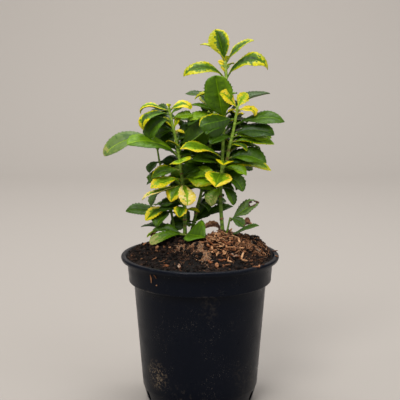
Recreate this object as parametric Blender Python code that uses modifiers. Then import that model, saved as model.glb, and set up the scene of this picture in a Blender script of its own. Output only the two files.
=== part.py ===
"""A potted golden-variegated Japanese spindle: leafy stems in a round nursery pot.

Metres, +Z up. The origin is the middle of the pot's flat underside. +X is to the right of a
viewer who looks along +Y. A heading is the compass direction in which a leaf or twig sets out,
in degrees from +X towards +Y, so 90 points away from the viewer and 270 towards the viewer.
"""

import math
import random
from dataclasses import dataclass, replace

import bmesh
import bpy
from mathutils import Vector
from mathutils.bvhtree import BVHTree

# The pot
RIM_RADIUS = 0.085
POT_HEIGHT = 0.162
WALL = 0.0018
FLOOR = 0.003
BEAD_HEIGHT = 0.0046
COLLAR_TOP_RADIUS = 0.0785
COLLAR_FOOT_RADIUS = 0.0768
COLLAR_FOOT = 0.1350
STEP_HEIGHT = 0.0022
BODY_TOP_RADIUS = 0.0714
BODY_FOOT_RADIUS = 0.0626
CHAMFER_HEIGHT = 0.0180
FOOT_RADIUS = 0.0545
POT_STEPS = 40
DRAINS = 8
DRAIN_RADIUS = 0.0045

# The soil, which fills the pot and is heaped round the stems
GAP = 0.0003
SOIL_EDGE = 0.1585
SOIL_RINGS = 9
SOIL_STEPS = 36
DOME = 0.0135
MOUNDS = (
    # x, y, spread, height: the coarse heap on the right, the ridge in front, the hollow, the left
    (0.030, 0.014, 0.026, 0.0105),
    (0.000, -0.020, 0.012, 0.0035),
    (-0.022, -0.030, 0.018, -0.0050),
    (-0.024, 0.026, 0.020, 0.0060),
)
SOCKET_DEPTH = 0.0030
SOCKET_SLACK = 0.0008

# Stems
STEM_SIDES = 8
SOCKET_SIDES = 16
FLARE = 0.45
FLARE_HEIGHT = 0.004
LEVEL_CUT = 0.0012
STEM_STEP = 0.009
FOOT_TWIG_RADIUS = 0.0010
STEM_SAMPLES = 48

# Leaves, as shares of a leaf's own length
PETIOLE = 0.12
STATIONS = (0.0, 0.12, 0.27, 0.45, 0.63, 0.82, 1.0)
KEEL = 1 / 75
LEAST_KEEL = 0.00055
PETIOLE_HALF_WIDTH = 0.0007
WIDEST = 1.3
ROUNDNESS = 0.72
BEND = 0.8
CURL_START = 0.55

# How a leaf that would touch something is turned, in degrees of heading and rise
TURNS = (
    (0, 0), (7, 0), (-7, 0), (0, 7), (0, -7), (13, 0), (-13, 0), (7, 9), (-7, 9), (7, -9),
    (-7, -9), (20, 5), (-20, 5), (20, -5), (-20, -5), (0, 16), (0, -16), (28, 8), (-28, 8),
)
CLEARANCE = 0.0005
SMALL_LEAF = 0.02
TWIG_BREADTH = 0.12
SEED = 7


@dataclass(frozen=True)
class Leaf:
    """One leaf: its heading, length, rise at the foot and droop to the tip, its breadth as a share
    of its length, its roll to one side, the fold along its middle and the curl of its tip."""

    heading: float
    length: float
    rise: float = 20
    droop: float = 35
    broad: float = 0.48
    roll: float = 0
    fold: float = 8
    curl: float = 0


@dataclass(frozen=True)
class Stem:
    """One stem: points that its middle passes, its radius at the foot and at the tip."""

    path: tuple
    foot_radius: float
    tip_radius: float


@dataclass(frozen=True)
class Mass:
    """One mass of leaves on a stem, from one height to the next, with its pairs of leaves."""

    stem: str
    start: float
    end: float
    pairs: tuple
    sprouts: int = 2


@dataclass(frozen=True)
class FootTwig:
    """A short twig beside a stem near the soil, with leaves at shares of its length."""

    stem: str
    height: float
    heading: float
    length: float
    rise: float
    leaves: tuple


STEMS = {
    "left": Stem(
        ((-0.0164, 0.020, 0.176), (-0.0175, 0.021, 0.222), (-0.0232, 0.020, 0.268), (-0.0335, 0.019, 0.318)),
        0.0021, 0.0013,
    ),
    "tall": Stem(
        ((0.0252, 0.012, 0.176), (0.0222, 0.014, 0.220), (0.0240, 0.015, 0.257), (0.0262, 0.020, 0.310),
         (0.0279, 0.027, 0.348), (0.0272, 0.029, 0.366)),
        0.0022, 0.0016,
    ),
    "right": Stem(
        ((0.0281, 0.0132, 0.2590), (0.0296, 0.0126, 0.2650), (0.0313, 0.0120, 0.2760), (0.0357, 0.0120, 0.2940),
         (0.0400, 0.0110, 0.3200)),
        0.0019, 0.0013,
    ),
    "middle": Stem(
        ((-0.0105, 0.038, 0.174), (-0.0024, 0.037, 0.2077), (0.0020, 0.036, 0.2258), (0.0077, 0.034, 0.2540),
         (0.0120, 0.032, 0.2820), (0.0142, 0.031, 0.3064)),
        0.0019, 0.0012,
    ),
    "side": Stem(
        ((-0.0270, 0.036, 0.172), (-0.0340, 0.036, 0.212), (-0.0430, 0.034, 0.250), (-0.0475, 0.033, 0.277)),
        0.0016, 0.0010,
    ),
}
BARE_UNTIL = {"left": 0.2010, "tall": 0.2290, "middle": 0.1840, "side": 0.1970}

MASSES = {
    "left_lower_leaves": Mass("left", 0.2010, 0.2470, (
        (0.2090, Leaf(250, 0.020, 20, 80, 0.75), Leaf(82, 0.034, 20, 30)),
        (0.2070, Leaf(350, 0.017, 4, 24, 0.50, 20), Leaf(170, 0.030, 14, 30, 0.50, -30)),
        (0.2300, Leaf(218, 0.023, -24, 46, 0.56), Leaf(58, 0.036, 20, 40)),
        (0.2330, Leaf(192, 0.048, -2, 24, 0.22, -10), Leaf(352, 0.036, 4, 20, 0.40, 20)),
        (0.2350, Leaf(282, 0.028, -4, 66, 0.64), Leaf(108, 0.036, 30, 40)),
        (0.2400, Leaf(200, 0.037, 22, 64, 0.44, -34, 0), Leaf(12, 0.036, 28, 40, 0.50, 34)),
    ), 2),
    "left_middle_leaves": Mass("left", 0.2470, 0.2900, (
        (0.2650, Leaf(190, 0.061, 51, 60, 0.32, -22, 0), Leaf(8, 0.034, 22, 40, 0.50, 20)),
        (0.2700, Leaf(350, 0.047, 44, 12, 0.58, -64), Leaf(120, 0.034, 30, 40)),
        (0.2610, Leaf(286, 0.032, 6, 6, 0.60, 16, 26), Leaf(104, 0.042, 30, 44)),
        (0.2560, Leaf(248, 0.026, -10, 60, 0.66), Leaf(66, 0.040, 30, 50)),
        (0.2500, Leaf(184, 0.034, 12, 46, 0.50, -36), Leaf(8, 0.032, 22, 26, 0.50, 36)),
        (0.2800, Leaf(250, 0.030, 8, 50, 0.50), Leaf(70, 0.042, 36, 50)),
    ), 1),
    "left_top_leaves": Mass("left", 0.2900, 0.3180, (
        (0.3150, Leaf(178, 0.044, 31, 44, 0.34, -8, 6, 130), Leaf(355, 0.030, 52, 60, 0.38, 10, 6, 70)),
        (0.3110, Leaf(205, 0.045, 22, 70, 0.46, -20, 0, 70), Leaf(26, 0.022, 38, 20, 0.40, 20)),
        (0.3060, Leaf(226, 0.042, 22, 104, 0.56, -8), Leaf(352, 0.024, 30, 40, 0.50, 30)),
        (0.2950, Leaf(168, 0.014, 60, 20, 0.40, -40), Leaf(10, 0.014, 66, 10, 0.44, 40)),
        (0.2930, Leaf(350, 0.012, 10, 40, 0.60, 20), Leaf(110, 0.034, 30, 40)),
        (0.3170, Leaf(104, 0.008, 60, 40), Leaf(290, 0.006, 70, 20)),
    ), 0),
    "tall_lower_leaves": Mass("tall", 0.2290, 0.2590, (
        (0.2500, Leaf(262, 0.038, 4, 36, 0.66, 0, 8), Leaf(84, 0.040, 26, 40)),
        (0.2445, Leaf(340, 0.031, 10, 76, 0.54, 34), Leaf(162, 0.036, 14, 34, 0.50, -20)),
        (0.2570, Leaf(2, 0.055, 20, 48, 0.28, 8, 0), Leaf(184, 0.034, 20, 34, 0.50, -30)),
        (0.2540, Leaf(336, 0.030, 14, 50, 0.56, 20), Leaf(150, 0.034, 30, 40)),
        (0.2335, Leaf(338, 0.026, -24, 50, 0.50, 20), Leaf(222, 0.026, -24, 52, 0.54)),
    ), 1),
    "tall_middle_leaves": Mass("tall", 0.2590, 0.3240, (
        (0.3130, Leaf(232, 0.042, 70, -4, 0.78, 36, 6), Leaf(80, 0.030, 30, 30)),
        (0.3100, Leaf(176, 0.038, 27, 18, 0.36, -16), Leaf(12, 0.056, 40, 26, 0.40, 12)),
        (0.3180, Leaf(156, 0.049, 34, 30, 0.36, -12), Leaf(62, 0.036, 20, 40)),
        (0.2640, Leaf(188, 0.050, 44, 58, 0.38, -22, 0), Leaf(110, 0.042, 20, 40)),
        (0.3030, Leaf(180, 0.041, 28, 44, 0.42, -26), Leaf(50, 0.042, 20, 44)),
        (0.2870, Leaf(176, 0.042, 28, 44, 0.50, -24), Leaf(34, 0.044, 28, 44)),
        (0.2940, Leaf(236, 0.034, 20, 40, 0.50), Leaf(92, 0.044, 34, 44)),
        (0.2720, Leaf(250, 0.030, 6, 30, 0.56), Leaf(68, 0.044, 28, 40)),
    ), 1),
    "tall_top_leaves": Mass("tall", 0.3240, 0.3660, (
        (0.3655, Leaf(134, 0.038, 74, 8, 0.64, -36, 8), Leaf(300, 0.010, 60, 20)),
        (0.3480, Leaf(186, 0.052, 50, 84, 0.40, -30, 0), Leaf(352, 0.058, 76, 94, 0.38, 30, 0, 20)),
        (0.3650, Leaf(9, 0.040, 60, 38, 0.40, 26, 6), Leaf(156, 0.032, 60, 44, 0.28)),
        (0.3275, Leaf(188, 0.036, 34, 76, 0.24, 0), Leaf(40, 0.018, 40, 40)),
        (0.3620, Leaf(200, 0.010, 50, 40, 0.60), Leaf(20, 0.011, 30, 30)),
        (0.3540, Leaf(214, 0.010, 60, 30), Leaf(96, 0.024, 50, 50)),
    ), 0),
    "right_lower_leaves": Mass("right", 0.2604, 0.2940, (
        (0.2820, Leaf(354, 0.047, 12, 26, 0.30, 10, 4), Leaf(226, 0.040, 56, 60, 0.44, -50)),
        (0.2900, Leaf(350, 0.046, 26, 44, 0.52, 42, 0), Leaf(60, 0.044, 30, 40)),
        (0.2640, Leaf(348, 0.044, 24, 52, 0.54, 42, 4), Leaf(150, 0.030, 40, 30)),
        (0.2870, Leaf(5, 0.044, 12, 26, 0.36, 12, 4), Leaf(220, 0.032, 20, 50, 0.50, -20)),
        (0.2690, Leaf(266, 0.028, 10, 6, 0.62, 0, 34), Leaf(64, 0.040, 30, 40)),
        (0.2780, Leaf(345, 0.022, 34, 90, 0.40, 20), Leaf(106, 0.042, 34, 50)),
    ), 1),
    "right_top_leaves": Mass("right", 0.2940, 0.3200, (
        (0.3180, Leaf(222, 0.027, 44, 10, 0.44, 34), Leaf(42, 0.021, 54, 8, 0.60, 40)),
        (0.3160, Leaf(2, 0.024, 14, 34, 0.34, 10, 10, 140), Leaf(198, 0.011, 20, 50, 0.50)),
        (0.3010, Leaf(2, 0.055, 30, 46, 0.38, 14, 0), Leaf(112, 0.034, 20, 40)),
        (0.3070, Leaf(204, 0.042, -2, 12, 0.44, -50, 0), Leaf(80, 0.034, 10, 40)),
        (0.3110, Leaf(336, 0.009, 40, 60), Leaf(98, 0.024, 5, 30)),
    ), 0),
    "middle_lower_leaves": Mass("middle", 0.1840, 0.2490, (
        (0.1900, Leaf(8, 0.047, 32, 22, 0.32, 20), Leaf(130, 0.026, 14, 20)),
        (0.1870, Leaf(48, 0.029, 48, 14, 0.64, 44), Leaf(250, 0.020, 20, 30, 0.60)),
        (0.2100, Leaf(304, 0.022, 16, 50, 0.60), Leaf(60, 0.034, 8, 34)),
        (0.2280, Leaf(356, 0.036, 18, 36, 0.50, 20), Leaf(172, 0.032, 22, 40, 0.50, -20)),
        (0.2250, Leaf(330, 0.026, 10, 46, 0.50), Leaf(110, 0.036, 22, 40)),
    ), 1),
    "middle_top_leaves": Mass("middle", 0.2490, 0.3064, (
        (0.2750, Leaf(236, 0.028, 22, 50, 0.56), Leaf(150, 0.044, 30, 44)),
        (0.2960, Leaf(250, 0.030, 30, 50, 0.60), Leaf(160, 0.042, 34, 44, 0.48, -20)),
        (0.2520, Leaf(208, 0.034, 16, 46, 0.56, -26), Leaf(30, 0.038, 24, 40, 0.50, 20)),
        (0.2580, Leaf(294, 0.030, 20, 60, 0.60), Leaf(118, 0.044, 26, 44)),
        (0.2810, Leaf(330, 0.032, 34, 50, 0.50), Leaf(62, 0.046, 28, 44)),
        (0.3010, Leaf(216, 0.034, 34, 50), Leaf(86, 0.044, 34, 44)),
        (0.3060, Leaf(300, 0.020, 60, 30), Leaf(118, 0.034, 62, 30)),
    ), 2),
    "side_leaves": Mass("side", 0.1970, 0.2770, (
        (0.2725, Leaf(186, 0.064, 44, 86, 0.48, -44, 0), Leaf(14, 0.030, 20, 40)),
        (0.2010, Leaf(178, 0.051, 9, 14, 0.34, -30), Leaf(84, 0.030, 20, 30)),
        (0.2060, Leaf(204, 0.033, 2, 44, 0.42, -30), Leaf(40, 0.026, 20, 30)),
        (0.2030, Leaf(230, 0.029, -10, 36, 0.70), Leaf(124, 0.034, 24, 40)),
        (0.2260, Leaf(212, 0.028, 10, 90, 0.44), Leaf(50, 0.034, 24, 40)),
        (0.2400, Leaf(188, 0.020, 0, 40, 0.44, -20), Leaf(80, 0.036, 26, 40)),
        (0.2500, Leaf(226, 0.022, -16, 40, 0.60), Leaf(36, 0.022, 24, 30)),
        (0.2580, Leaf(214, 0.018, -10, 60, 0.70, -20), Leaf(80, 0.036, 24, 50)),
        (0.2765, Leaf(276, 0.012, 30, 40), Leaf(100, 0.036, 40, 40, 0.50)),
    ), 1),
}

FOOT_TWIGS = {
    "left_foot_leaves": FootTwig("left", 0.1795, 262, 0.0050, 10, (
        (1.0, Leaf(199, 0.040, 14, 46, 0.38, -28)),
        (1.0, Leaf(346, 0.030, 10, 28, 0.80, 30, 34)),
        (0.6, Leaf(182, 0.036, 24, 30, 0.40, -20)),
    )),
    "right_foot_leaves": FootTwig("tall", 0.1812, 345, 0.0185, 78, (
        (0.97, Leaf(8, 0.035, 40, 14, 0.50, 25)),
        (0.8, Leaf(346, 0.022, -10, 30, 0.60, 40)),
        (0.16, Leaf(350, 0.037, 17, 6, 0.26, 20)),
    )),
    "side_foot_leaves": FootTwig("side", 0.1815, 178, 0.0050, 20, (
        (1.0, Leaf(180, 0.030, 8, 6, 0.24)),
        (0.7, Leaf(140, 0.030, 24, 40)),
        (1.0, Leaf(206, 0.027, -4, 24, 0.30)),
    )),
}

COLOURS = {
    "pot": ((0.012, 0.014, 0.018), 0.45),
    "soil": ((0.045, 0.026, 0.016), 0.95),
    "stem": ((0.130, 0.230, 0.040), 0.60),
    "leaves": ((0.090, 0.210, 0.020), 0.40),
}


def clear_scene():
    for thing in list(bpy.data.objects):
        bpy.data.objects.remove(thing, do_unlink=True)


def material(name):
    """The named material, made once, with its colour and roughness."""
    if name in bpy.data.materials:
        return bpy.data.materials[name]
    made = bpy.data.materials.new(name)
    made.use_nodes = True
    colour, roughness = COLOURS[name]
    shader = made.node_tree.nodes["Principled BSDF"]
    shader.inputs["Base Color"].default_value = (*colour, 1)
    shader.inputs["Roughness"].default_value = roughness
    return made


def add_object(name, data, home, finish=None):
    """A new object in the collection home."""
    made = bpy.data.objects.new(name, data)
    home.objects.link(made)
    if finish:
        made.data.materials.append(material(finish))
    return made


def collection(name):
    made = bpy.data.collections.new(name)
    bpy.context.scene.collection.children.link(made)
    return made


def as_helper(thing):
    thing.hide_render = True
    thing.display_type = "WIRE"


def apply_modifiers(thing):
    """Makes the modified mesh the object's own."""
    bpy.context.view_layer.update()
    graph = bpy.context.evaluated_depsgraph_get()
    mesh = bpy.data.meshes.new_from_object(thing.evaluated_get(graph))
    thing.modifiers.clear()
    thing.data = mesh


def turned(name, profile, steps, home, finish):
    """A solid of revolution from (radius, height) points that run down its outer side."""
    mesh = bpy.data.meshes.new(name)
    points = [(radius, 0.0, height) for radius, height in profile]
    mesh.from_pydata(points, [(i, i + 1) for i in range(len(points) - 1)], [])
    made = add_object(name, mesh, home, finish)
    screw = made.modifiers.new("turn", "SCREW")
    screw.steps = screw.render_steps = steps
    screw.use_merge_vertices = True
    screw.merge_threshold = 0.00001
    screw.use_smooth_shade = False
    apply_modifiers(made)
    return made


def pot_profile():
    """From the middle of the floor, up inside, over the rolled rim and down the outside."""
    bead_foot = POT_HEIGHT - BEAD_HEIGHT
    inner_collar_foot = COLLAR_FOOT + STEP_HEIGHT
    edge = 0.0008
    return [
        (0.0, FLOOR),
        (FOOT_RADIUS - WALL, FLOOR),
        (BODY_FOOT_RADIUS - WALL, CHAMFER_HEIGHT),
        (BODY_TOP_RADIUS - WALL, COLLAR_FOOT),
        (COLLAR_FOOT_RADIUS - WALL, inner_collar_foot),
        (COLLAR_TOP_RADIUS - WALL, bead_foot),
        (RIM_RADIUS - 2.4 * WALL, POT_HEIGHT - edge),
        (RIM_RADIUS - 1.8 * WALL, POT_HEIGHT),
        (RIM_RADIUS - edge, POT_HEIGHT),
        (RIM_RADIUS, POT_HEIGHT - edge),
        (RIM_RADIUS - edge / 2, bead_foot + edge),
        (RIM_RADIUS - 2 * edge, bead_foot),
        (COLLAR_TOP_RADIUS, bead_foot - edge),
        (COLLAR_FOOT_RADIUS, COLLAR_FOOT + edge),
        (COLLAR_FOOT_RADIUS - 2 * edge, COLLAR_FOOT - edge),
        (BODY_TOP_RADIUS, COLLAR_FOOT - STEP_HEIGHT),
        (BODY_FOOT_RADIUS, CHAMFER_HEIGHT),
        (FOOT_RADIUS + 3 * edge, edge),
        (FOOT_RADIUS, 0.0),
        (0.0, 0.0),
    ]


def make_pot(home, cutters):
    """The pot, with a ring of drain holes through its sloping foot."""
    pot = turned("pot", pot_profile(), POT_STEPS, home, "pot")
    middle = Vector(((FOOT_RADIUS + BODY_FOOT_RADIUS) / 2, 0, CHAMFER_HEIGHT / 2))
    slope = math.atan2(CHAMFER_HEIGHT, BODY_FOOT_RADIUS - FOOT_RADIUS)
    for i in range(DRAINS):
        bpy.ops.mesh.primitive_cylinder_add(vertices=10, radius=DRAIN_RADIUS, depth=0.016)
        drain = bpy.context.object
        drain.name = f"drain_{i + 1}"
        turn = 2 * math.pi * (i + 0.5) / DRAINS
        drain.rotation_euler = (0, slope, turn)
        drain.location = (middle.x * math.cos(turn), middle.x * math.sin(turn), middle.z)
        bpy.context.collection.objects.unlink(drain)
        cutters.objects.link(drain)
        as_helper(drain)
    cut = pot.modifiers.new("drains", "BOOLEAN")
    cut.operation = "DIFFERENCE"
    cut.operand_type = "COLLECTION"
    cut.collection = cutters
    cut.solver = "EXACT"
    apply_modifiers(pot)
    return pot


def soil_height(x, y):
    """The height of the soil's surface."""
    radius = min(1.0, math.hypot(x, y) / (COLLAR_TOP_RADIUS - WALL))
    height = SOIL_EDGE + DOME * (1 - radius ** 2.2)
    for middle_x, middle_y, spread, rise in MOUNDS:
        away = math.hypot(x - middle_x, y - middle_y) / spread
        height += rise * math.exp(-away * away) * (1 - radius ** 6)
    return height


def make_soil(home, cutters):
    """A body turned to the pot's inside, whose top is raised to the soil's surface."""
    inside = WALL + GAP
    top_radius = COLLAR_TOP_RADIUS - inside - 0.0003
    profile = [(top_radius * i / SOIL_RINGS, POT_HEIGHT) for i in range(SOIL_RINGS + 1)]
    profile += [
        (COLLAR_FOOT_RADIUS - inside, COLLAR_FOOT + STEP_HEIGHT + GAP),
        (BODY_TOP_RADIUS - inside, COLLAR_FOOT),
        (BODY_FOOT_RADIUS - inside, CHAMFER_HEIGHT),
        (FOOT_RADIUS - inside, FLOOR + GAP),
        (0.0, FLOOR + GAP),
    ]
    soil = turned("soil", profile, SOIL_STEPS, home, "soil")
    for vertex in soil.data.vertices:
        if vertex.co.z > POT_HEIGHT - GAP:
            vertex.co.z = soil_height(vertex.co.x, vertex.co.y)
    for name in BARE_UNTIL:
        foot = Vector(STEMS[name].path[0])
        socket_floor = foot_height(name) - GAP
        depth = 0.02
        radius = STEMS[name].foot_radius * (1 + FLARE) + SOCKET_SLACK
        bpy.ops.mesh.primitive_cylinder_add(vertices=SOCKET_SIDES, radius=radius, depth=depth)
        socket = bpy.context.object
        socket.name = f"{name}_socket"
        socket.location = (foot.x, foot.y, socket_floor + depth / 2)
        bpy.context.collection.objects.unlink(socket)
        cutters.objects.link(socket)
        as_helper(socket)
    cut = soil.modifiers.new("sockets", "BOOLEAN")
    cut.operation = "DIFFERENCE"
    cut.operand_type = "COLLECTION"
    cut.collection = cutters
    cut.solver = "EXACT"
    apply_modifiers(soil)
    return soil


def foot_height(name):
    """Where a stem starts: its flat cut, sunk a little into the soil, or its fork from another."""
    x, y, height = STEMS[name].path[0]
    return soil_height(x, y) - SOCKET_DEPTH if name in BARE_UNTIL else height


def spline_point(points, place):
    """A point of the smooth curve through the points, place from 0 to their number less 1."""
    last = len(points) - 1
    index = min(int(place), last - 1)
    share = place - index
    before = Vector(points[max(index - 1, 0)])
    start = Vector(points[index])
    end = Vector(points[index + 1])
    after = Vector(points[min(index + 2, last)])
    if index == 0:
        before = 2 * start - end
    if index + 2 > last:
        after = 2 * end - start
    return 0.5 * (
        2 * start
        + (end - before) * share
        + (2 * before - 5 * start + 4 * end - after) * share ** 2
        + (3 * start - before - 3 * end + after) * share ** 3
    )


def stem_line(name):
    """Samples of a stem's middle line, from its foot to its tip."""
    points = STEMS[name].path
    last = len(points) - 1
    line = [spline_point(points, last * i / STEM_SAMPLES) for i in range(STEM_SAMPLES + 1)]
    line[0].z = foot_height(name)
    return line


def stem_at(name, height):
    """The point of a stem's middle line at this height."""
    line = stem_line(name)
    for low, high in zip(line, line[1:]):
        if height <= high.z:
            return low.lerp(high, (height - low.z) / (high.z - low.z))
    return line[-1]


def stem_radius(name, height):
    """The radius, which tapers to the tip and flares at the foot."""
    stem = STEMS[name]
    low, high = foot_height(name), stem.path[-1][2]
    share = (height - low) / (high - low)
    flare = FLARE * math.exp(-(height - low) / FLARE_HEIGHT) if name in BARE_UNTIL else 0.0
    return (stem.foot_radius + (stem.tip_radius - stem.foot_radius) * share) * (1 + flare)


def tube(name, points, radii, home, sides):
    """A closed tube along points, as a mesh."""
    curve = bpy.data.curves.new(name, "CURVE")
    curve.dimensions = "3D"
    curve.bevel_depth = 1.0
    curve.bevel_resolution = sides // 2 - 2
    curve.use_fill_caps = True
    spline = curve.splines.new("POLY")
    spline.points.add(len(points) - 1)
    for knot, point, radius in zip(spline.points, points, radii):
        knot.co = (*point, 1)
        knot.radius = radius
    guide = bpy.data.objects.new(name, curve)
    bpy.context.scene.collection.objects.link(guide)
    bpy.context.view_layer.update()
    graph = bpy.context.evaluated_depsgraph_get()
    mesh = bpy.data.meshes.new_from_object(guide.evaluated_get(graph))
    bpy.data.objects.remove(guide)
    shape = bmesh.new()
    shape.from_mesh(mesh)
    bmesh.ops.remove_doubles(shape, verts=shape.verts, dist=0.000002)
    bmesh.ops.recalc_face_normals(shape, faces=shape.faces)
    shape.to_mesh(mesh)
    shape.free()
    return add_object(name, mesh, home, "stem")


def stem_piece(name, stem, start, end, home):
    """The stretch of a stem between two heights."""
    count = max(3, round((end - start) / STEM_STEP))
    heights = [start + (end - start) * i / count for i in range(count + 1)]
    at_foot = stem in BARE_UNTIL and start <= foot_height(stem)
    if at_foot:
        heights[1:1] = [start + LEVEL_CUT, start + FLARE_HEIGHT]
    points = [stem_at(stem, height) for height in heights]
    radii = [stem_radius(stem, height) for height in heights]
    if at_foot:
        points[1] = points[0] + Vector((0, 0, LEVEL_CUT))
    return tube(name, points, radii, home, STEM_SIDES)


def half_width(leaf, share):
    """Half a leaf's width at this share of its length."""
    if share <= PETIOLE:
        return PETIOLE_HALF_WIDTH
    blade = (share - PETIOLE) / (1 - PETIOLE)
    swell = math.sin(math.pi * blade ** WIDEST) ** ROUNDNESS if blade < 1 else 0.0
    return max(PETIOLE_HALF_WIDTH * (1 - blade), 0.5 * leaf.broad * leaf.length * swell)


def leaf_frame(leaf, share):
    """A leaf's direction, left side and upper side at this share of its length."""
    curl = leaf.curl * max(0.0, (share - CURL_START) / (1 - CURL_START)) ** 1.5
    rise = math.radians(leaf.rise - leaf.droop * share ** BEND - curl)
    heading = math.radians(leaf.heading)
    along = Vector((math.cos(rise) * math.cos(heading), math.cos(rise) * math.sin(heading), math.sin(rise)))
    level = Vector((-math.sin(heading), math.cos(heading), 0))
    upper = along.cross(level)
    roll = math.radians(leaf.roll) * min(1.0, share / PETIOLE)
    left = level * math.cos(roll) + upper * math.sin(roll)
    return along, left, along.cross(left)


def leaf_sections(leaf, base, stations, swollen=0.0):
    """Four points round the leaf at each station: left edge, upper middle, right edge, keel."""
    fold = math.radians(leaf.fold)
    keel = max(LEAST_KEEL, leaf.length * KEEL) + swollen
    point, done, sections = Vector(base), 0.0, []
    for share in stations:
        while done < share - 1e-9:
            step = min(0.02, share - done)
            along, left, upper = leaf_frame(leaf, done + step / 2)
            point = point + along * step * leaf.length
            done += step
        along, left, upper = leaf_frame(leaf, share)
        half = half_width(leaf, share) + swollen
        lift = upper * math.sin(fold) * half
        spread = left * math.cos(fold) * half
        sections.append((point + lift + spread, point + upper * swollen, point + lift - spread, point - upper * keel))
    return sections


def leaf_faces(count):
    """Faces of a closed leaf of this many sections, the last of which has shrunk to the tip."""
    faces = [(0, 1, 2, 3)]
    for i in range(count - 2):
        a, b = 4 * i, 4 * i + 4
        faces += [(a + j, b + j, b + (j + 1) % 4, a + (j + 1) % 4) for j in range(4)]
    last, tip = 4 * (count - 2), 4 * (count - 1)
    faces += [(last + j, tip, last + (j + 1) % 4) for j in range(4)]
    return faces


def leaf_points(sections):
    """The corners of a leaf, with its last section as one point at the tip."""
    points = [corner for section in sections[:-1] for corner in section]
    points.append((sections[-1][0] + sections[-1][2]) / 2)
    return points


def leaf_tree(leaf, base, stations):
    """The leaf, a little swollen, as a tree that finds what touches it."""
    sections = leaf_sections(leaf, base, stations, CLEARANCE)
    return BVHTree.FromPolygons(leaf_points(sections), leaf_faces(len(sections)))


def tree_of(thing):
    """An object's faces as a tree. Every object here has its place in its vertices."""
    mesh = thing.data
    return BVHTree.FromPolygons([v.co for v in mesh.vertices], [tuple(p.vertices) for p in mesh.polygons])


class Garden:
    """What stands already, so that each new leaf keeps clear of it."""

    def __init__(self):
        self.limbs = []
        self.blades = []

    def add_limb(self, owner, thing):
        self.limbs.append((owner, tree_of(thing)))

    def touches(self, leaf, base, mass, limb):
        """Whether a leaf of this mass and limb would touch a limb, the soil, the pot or a leaf.
        Only its blade is held clear of the limb that it grows from."""
        whole = leaf_tree(leaf, base, STATIONS)
        blade = leaf_tree(leaf, base, STATIONS[2:] if leaf.length > SMALL_LEAF else STATIONS[3:])
        for owner, solid in self.limbs:
            if (blade if owner == limb else whole).overlap(solid):
                return True
        for owner, other_whole, other_blade in self.blades:
            mine, other = (blade, other_blade) if owner == mass else (whole, other_whole)
            if mine.overlap(other):
                return True
        return False

    def settle(self, leaf, base, mass, limb):
        """The leaf, turned as little as it takes to touch nothing, or None."""
        for turn, lift in TURNS:
            trial = replace(leaf, heading=leaf.heading + turn, rise=leaf.rise + lift)
            if not self.touches(trial, base, mass, limb):
                self.blades.append((mass, leaf_tree(trial, base, STATIONS), leaf_tree(trial, base, STATIONS[2:])))
                return trial
        return None


def make_leaf(leaf, base, home):
    mesh = bpy.data.meshes.new("leaf")
    sections = leaf_sections(leaf, base, STATIONS)
    mesh.from_pydata(leaf_points(sections), [], leaf_faces(len(sections)))
    made = add_object("leaf", mesh, home)
    shape = bmesh.new()
    shape.from_mesh(mesh)
    bmesh.ops.recalc_face_normals(shape, faces=shape.faces)
    shape.to_mesh(mesh)
    shape.free()
    return made


def sprout(garden, name, base, heading, chance, home):
    """A short side twig by a seeded rule: it leaves an axil and carries a pair of young leaves."""
    limb = MASSES[name].stem
    shoot = Leaf(heading, chance.uniform(0.007, 0.012), chance.uniform(35, 60), 0, TWIG_BREADTH)
    shoot = garden.settle(shoot, base, name, limb)
    if not shoot:
        return
    tip = base + leaf_frame(shoot, 0)[0] * shoot.length
    young = []
    for turn in (90, 270):
        leaf = Leaf(
            heading + turn + chance.uniform(-15, 15),
            chance.uniform(0.012, 0.018),
            chance.uniform(15, 50),
            chance.uniform(20, 60),
        )
        young.append(garden.settle(leaf, tip, name, limb))
    if any(young):
        tube("twig", [base, base.lerp(tip, 0.5), tip], [0.0007, 0.0006, 0.0005], home, 4)
    for leaf in filter(None, young):
        make_leaf(leaf, tip, home)


def fuse(body, home):
    """Joins every object of the collection home to the body by one Boolean union."""
    join = body.modifiers.new("fuse", "BOOLEAN")
    join.operation = "UNION"
    join.operand_type = "COLLECTION"
    join.collection = home
    join.solver = "MANIFOLD"
    apply_modifiers(body)
    for loose in list(home.objects):
        bpy.data.objects.remove(loose)
    bpy.data.collections.remove(home)
    body.data.materials.clear()
    body.data.materials.append(material("leaves"))
    for face in body.data.polygons:
        face.material_index = 0


def plan_leaves(garden):
    """Every leaf with its foot, by mass. The leaves that come first in their pairs choose first."""
    plan = {name: [] for name in (*MASSES, *FOOT_TWIGS)}
    wanted = []
    for turn in (0, 1):
        for name, mass in MASSES.items():
            for height, *pair in mass.pairs:
                wanted.append((name, mass.stem, stem_at(mass.stem, height), pair[turn]))
    for name, twig in FOOT_TWIGS.items():
        start, tip = foot_twig_line(twig)
        for share, leaf in twig.leaves:
            wanted.append((name, name, start.lerp(tip, share), leaf))
    for name, limb, base, leaf in wanted:
        settled = garden.settle(leaf, base, name, limb)
        if settled:
            plan[name].append((settled, base))
        else:
            print("skipped", name, round(base.z, 4), leaf)
    return plan


def make_mass(name, leaves, garden, body):
    """A mass: its stretch of stem, its leaves and its sprouts, fused into one solid."""
    home = collection(name + "_loose")
    chance = random.Random(f"{SEED} {name}")
    for leaf, base in leaves:
        make_leaf(leaf, base, home)
    if name in MASSES:
        for _ in range(MASSES[name].sprouts):
            base = chance.choice(leaves)[1]
            sprout(garden, name, base, chance.uniform(0, 360), chance, home)
    fuse(body, home)


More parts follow.
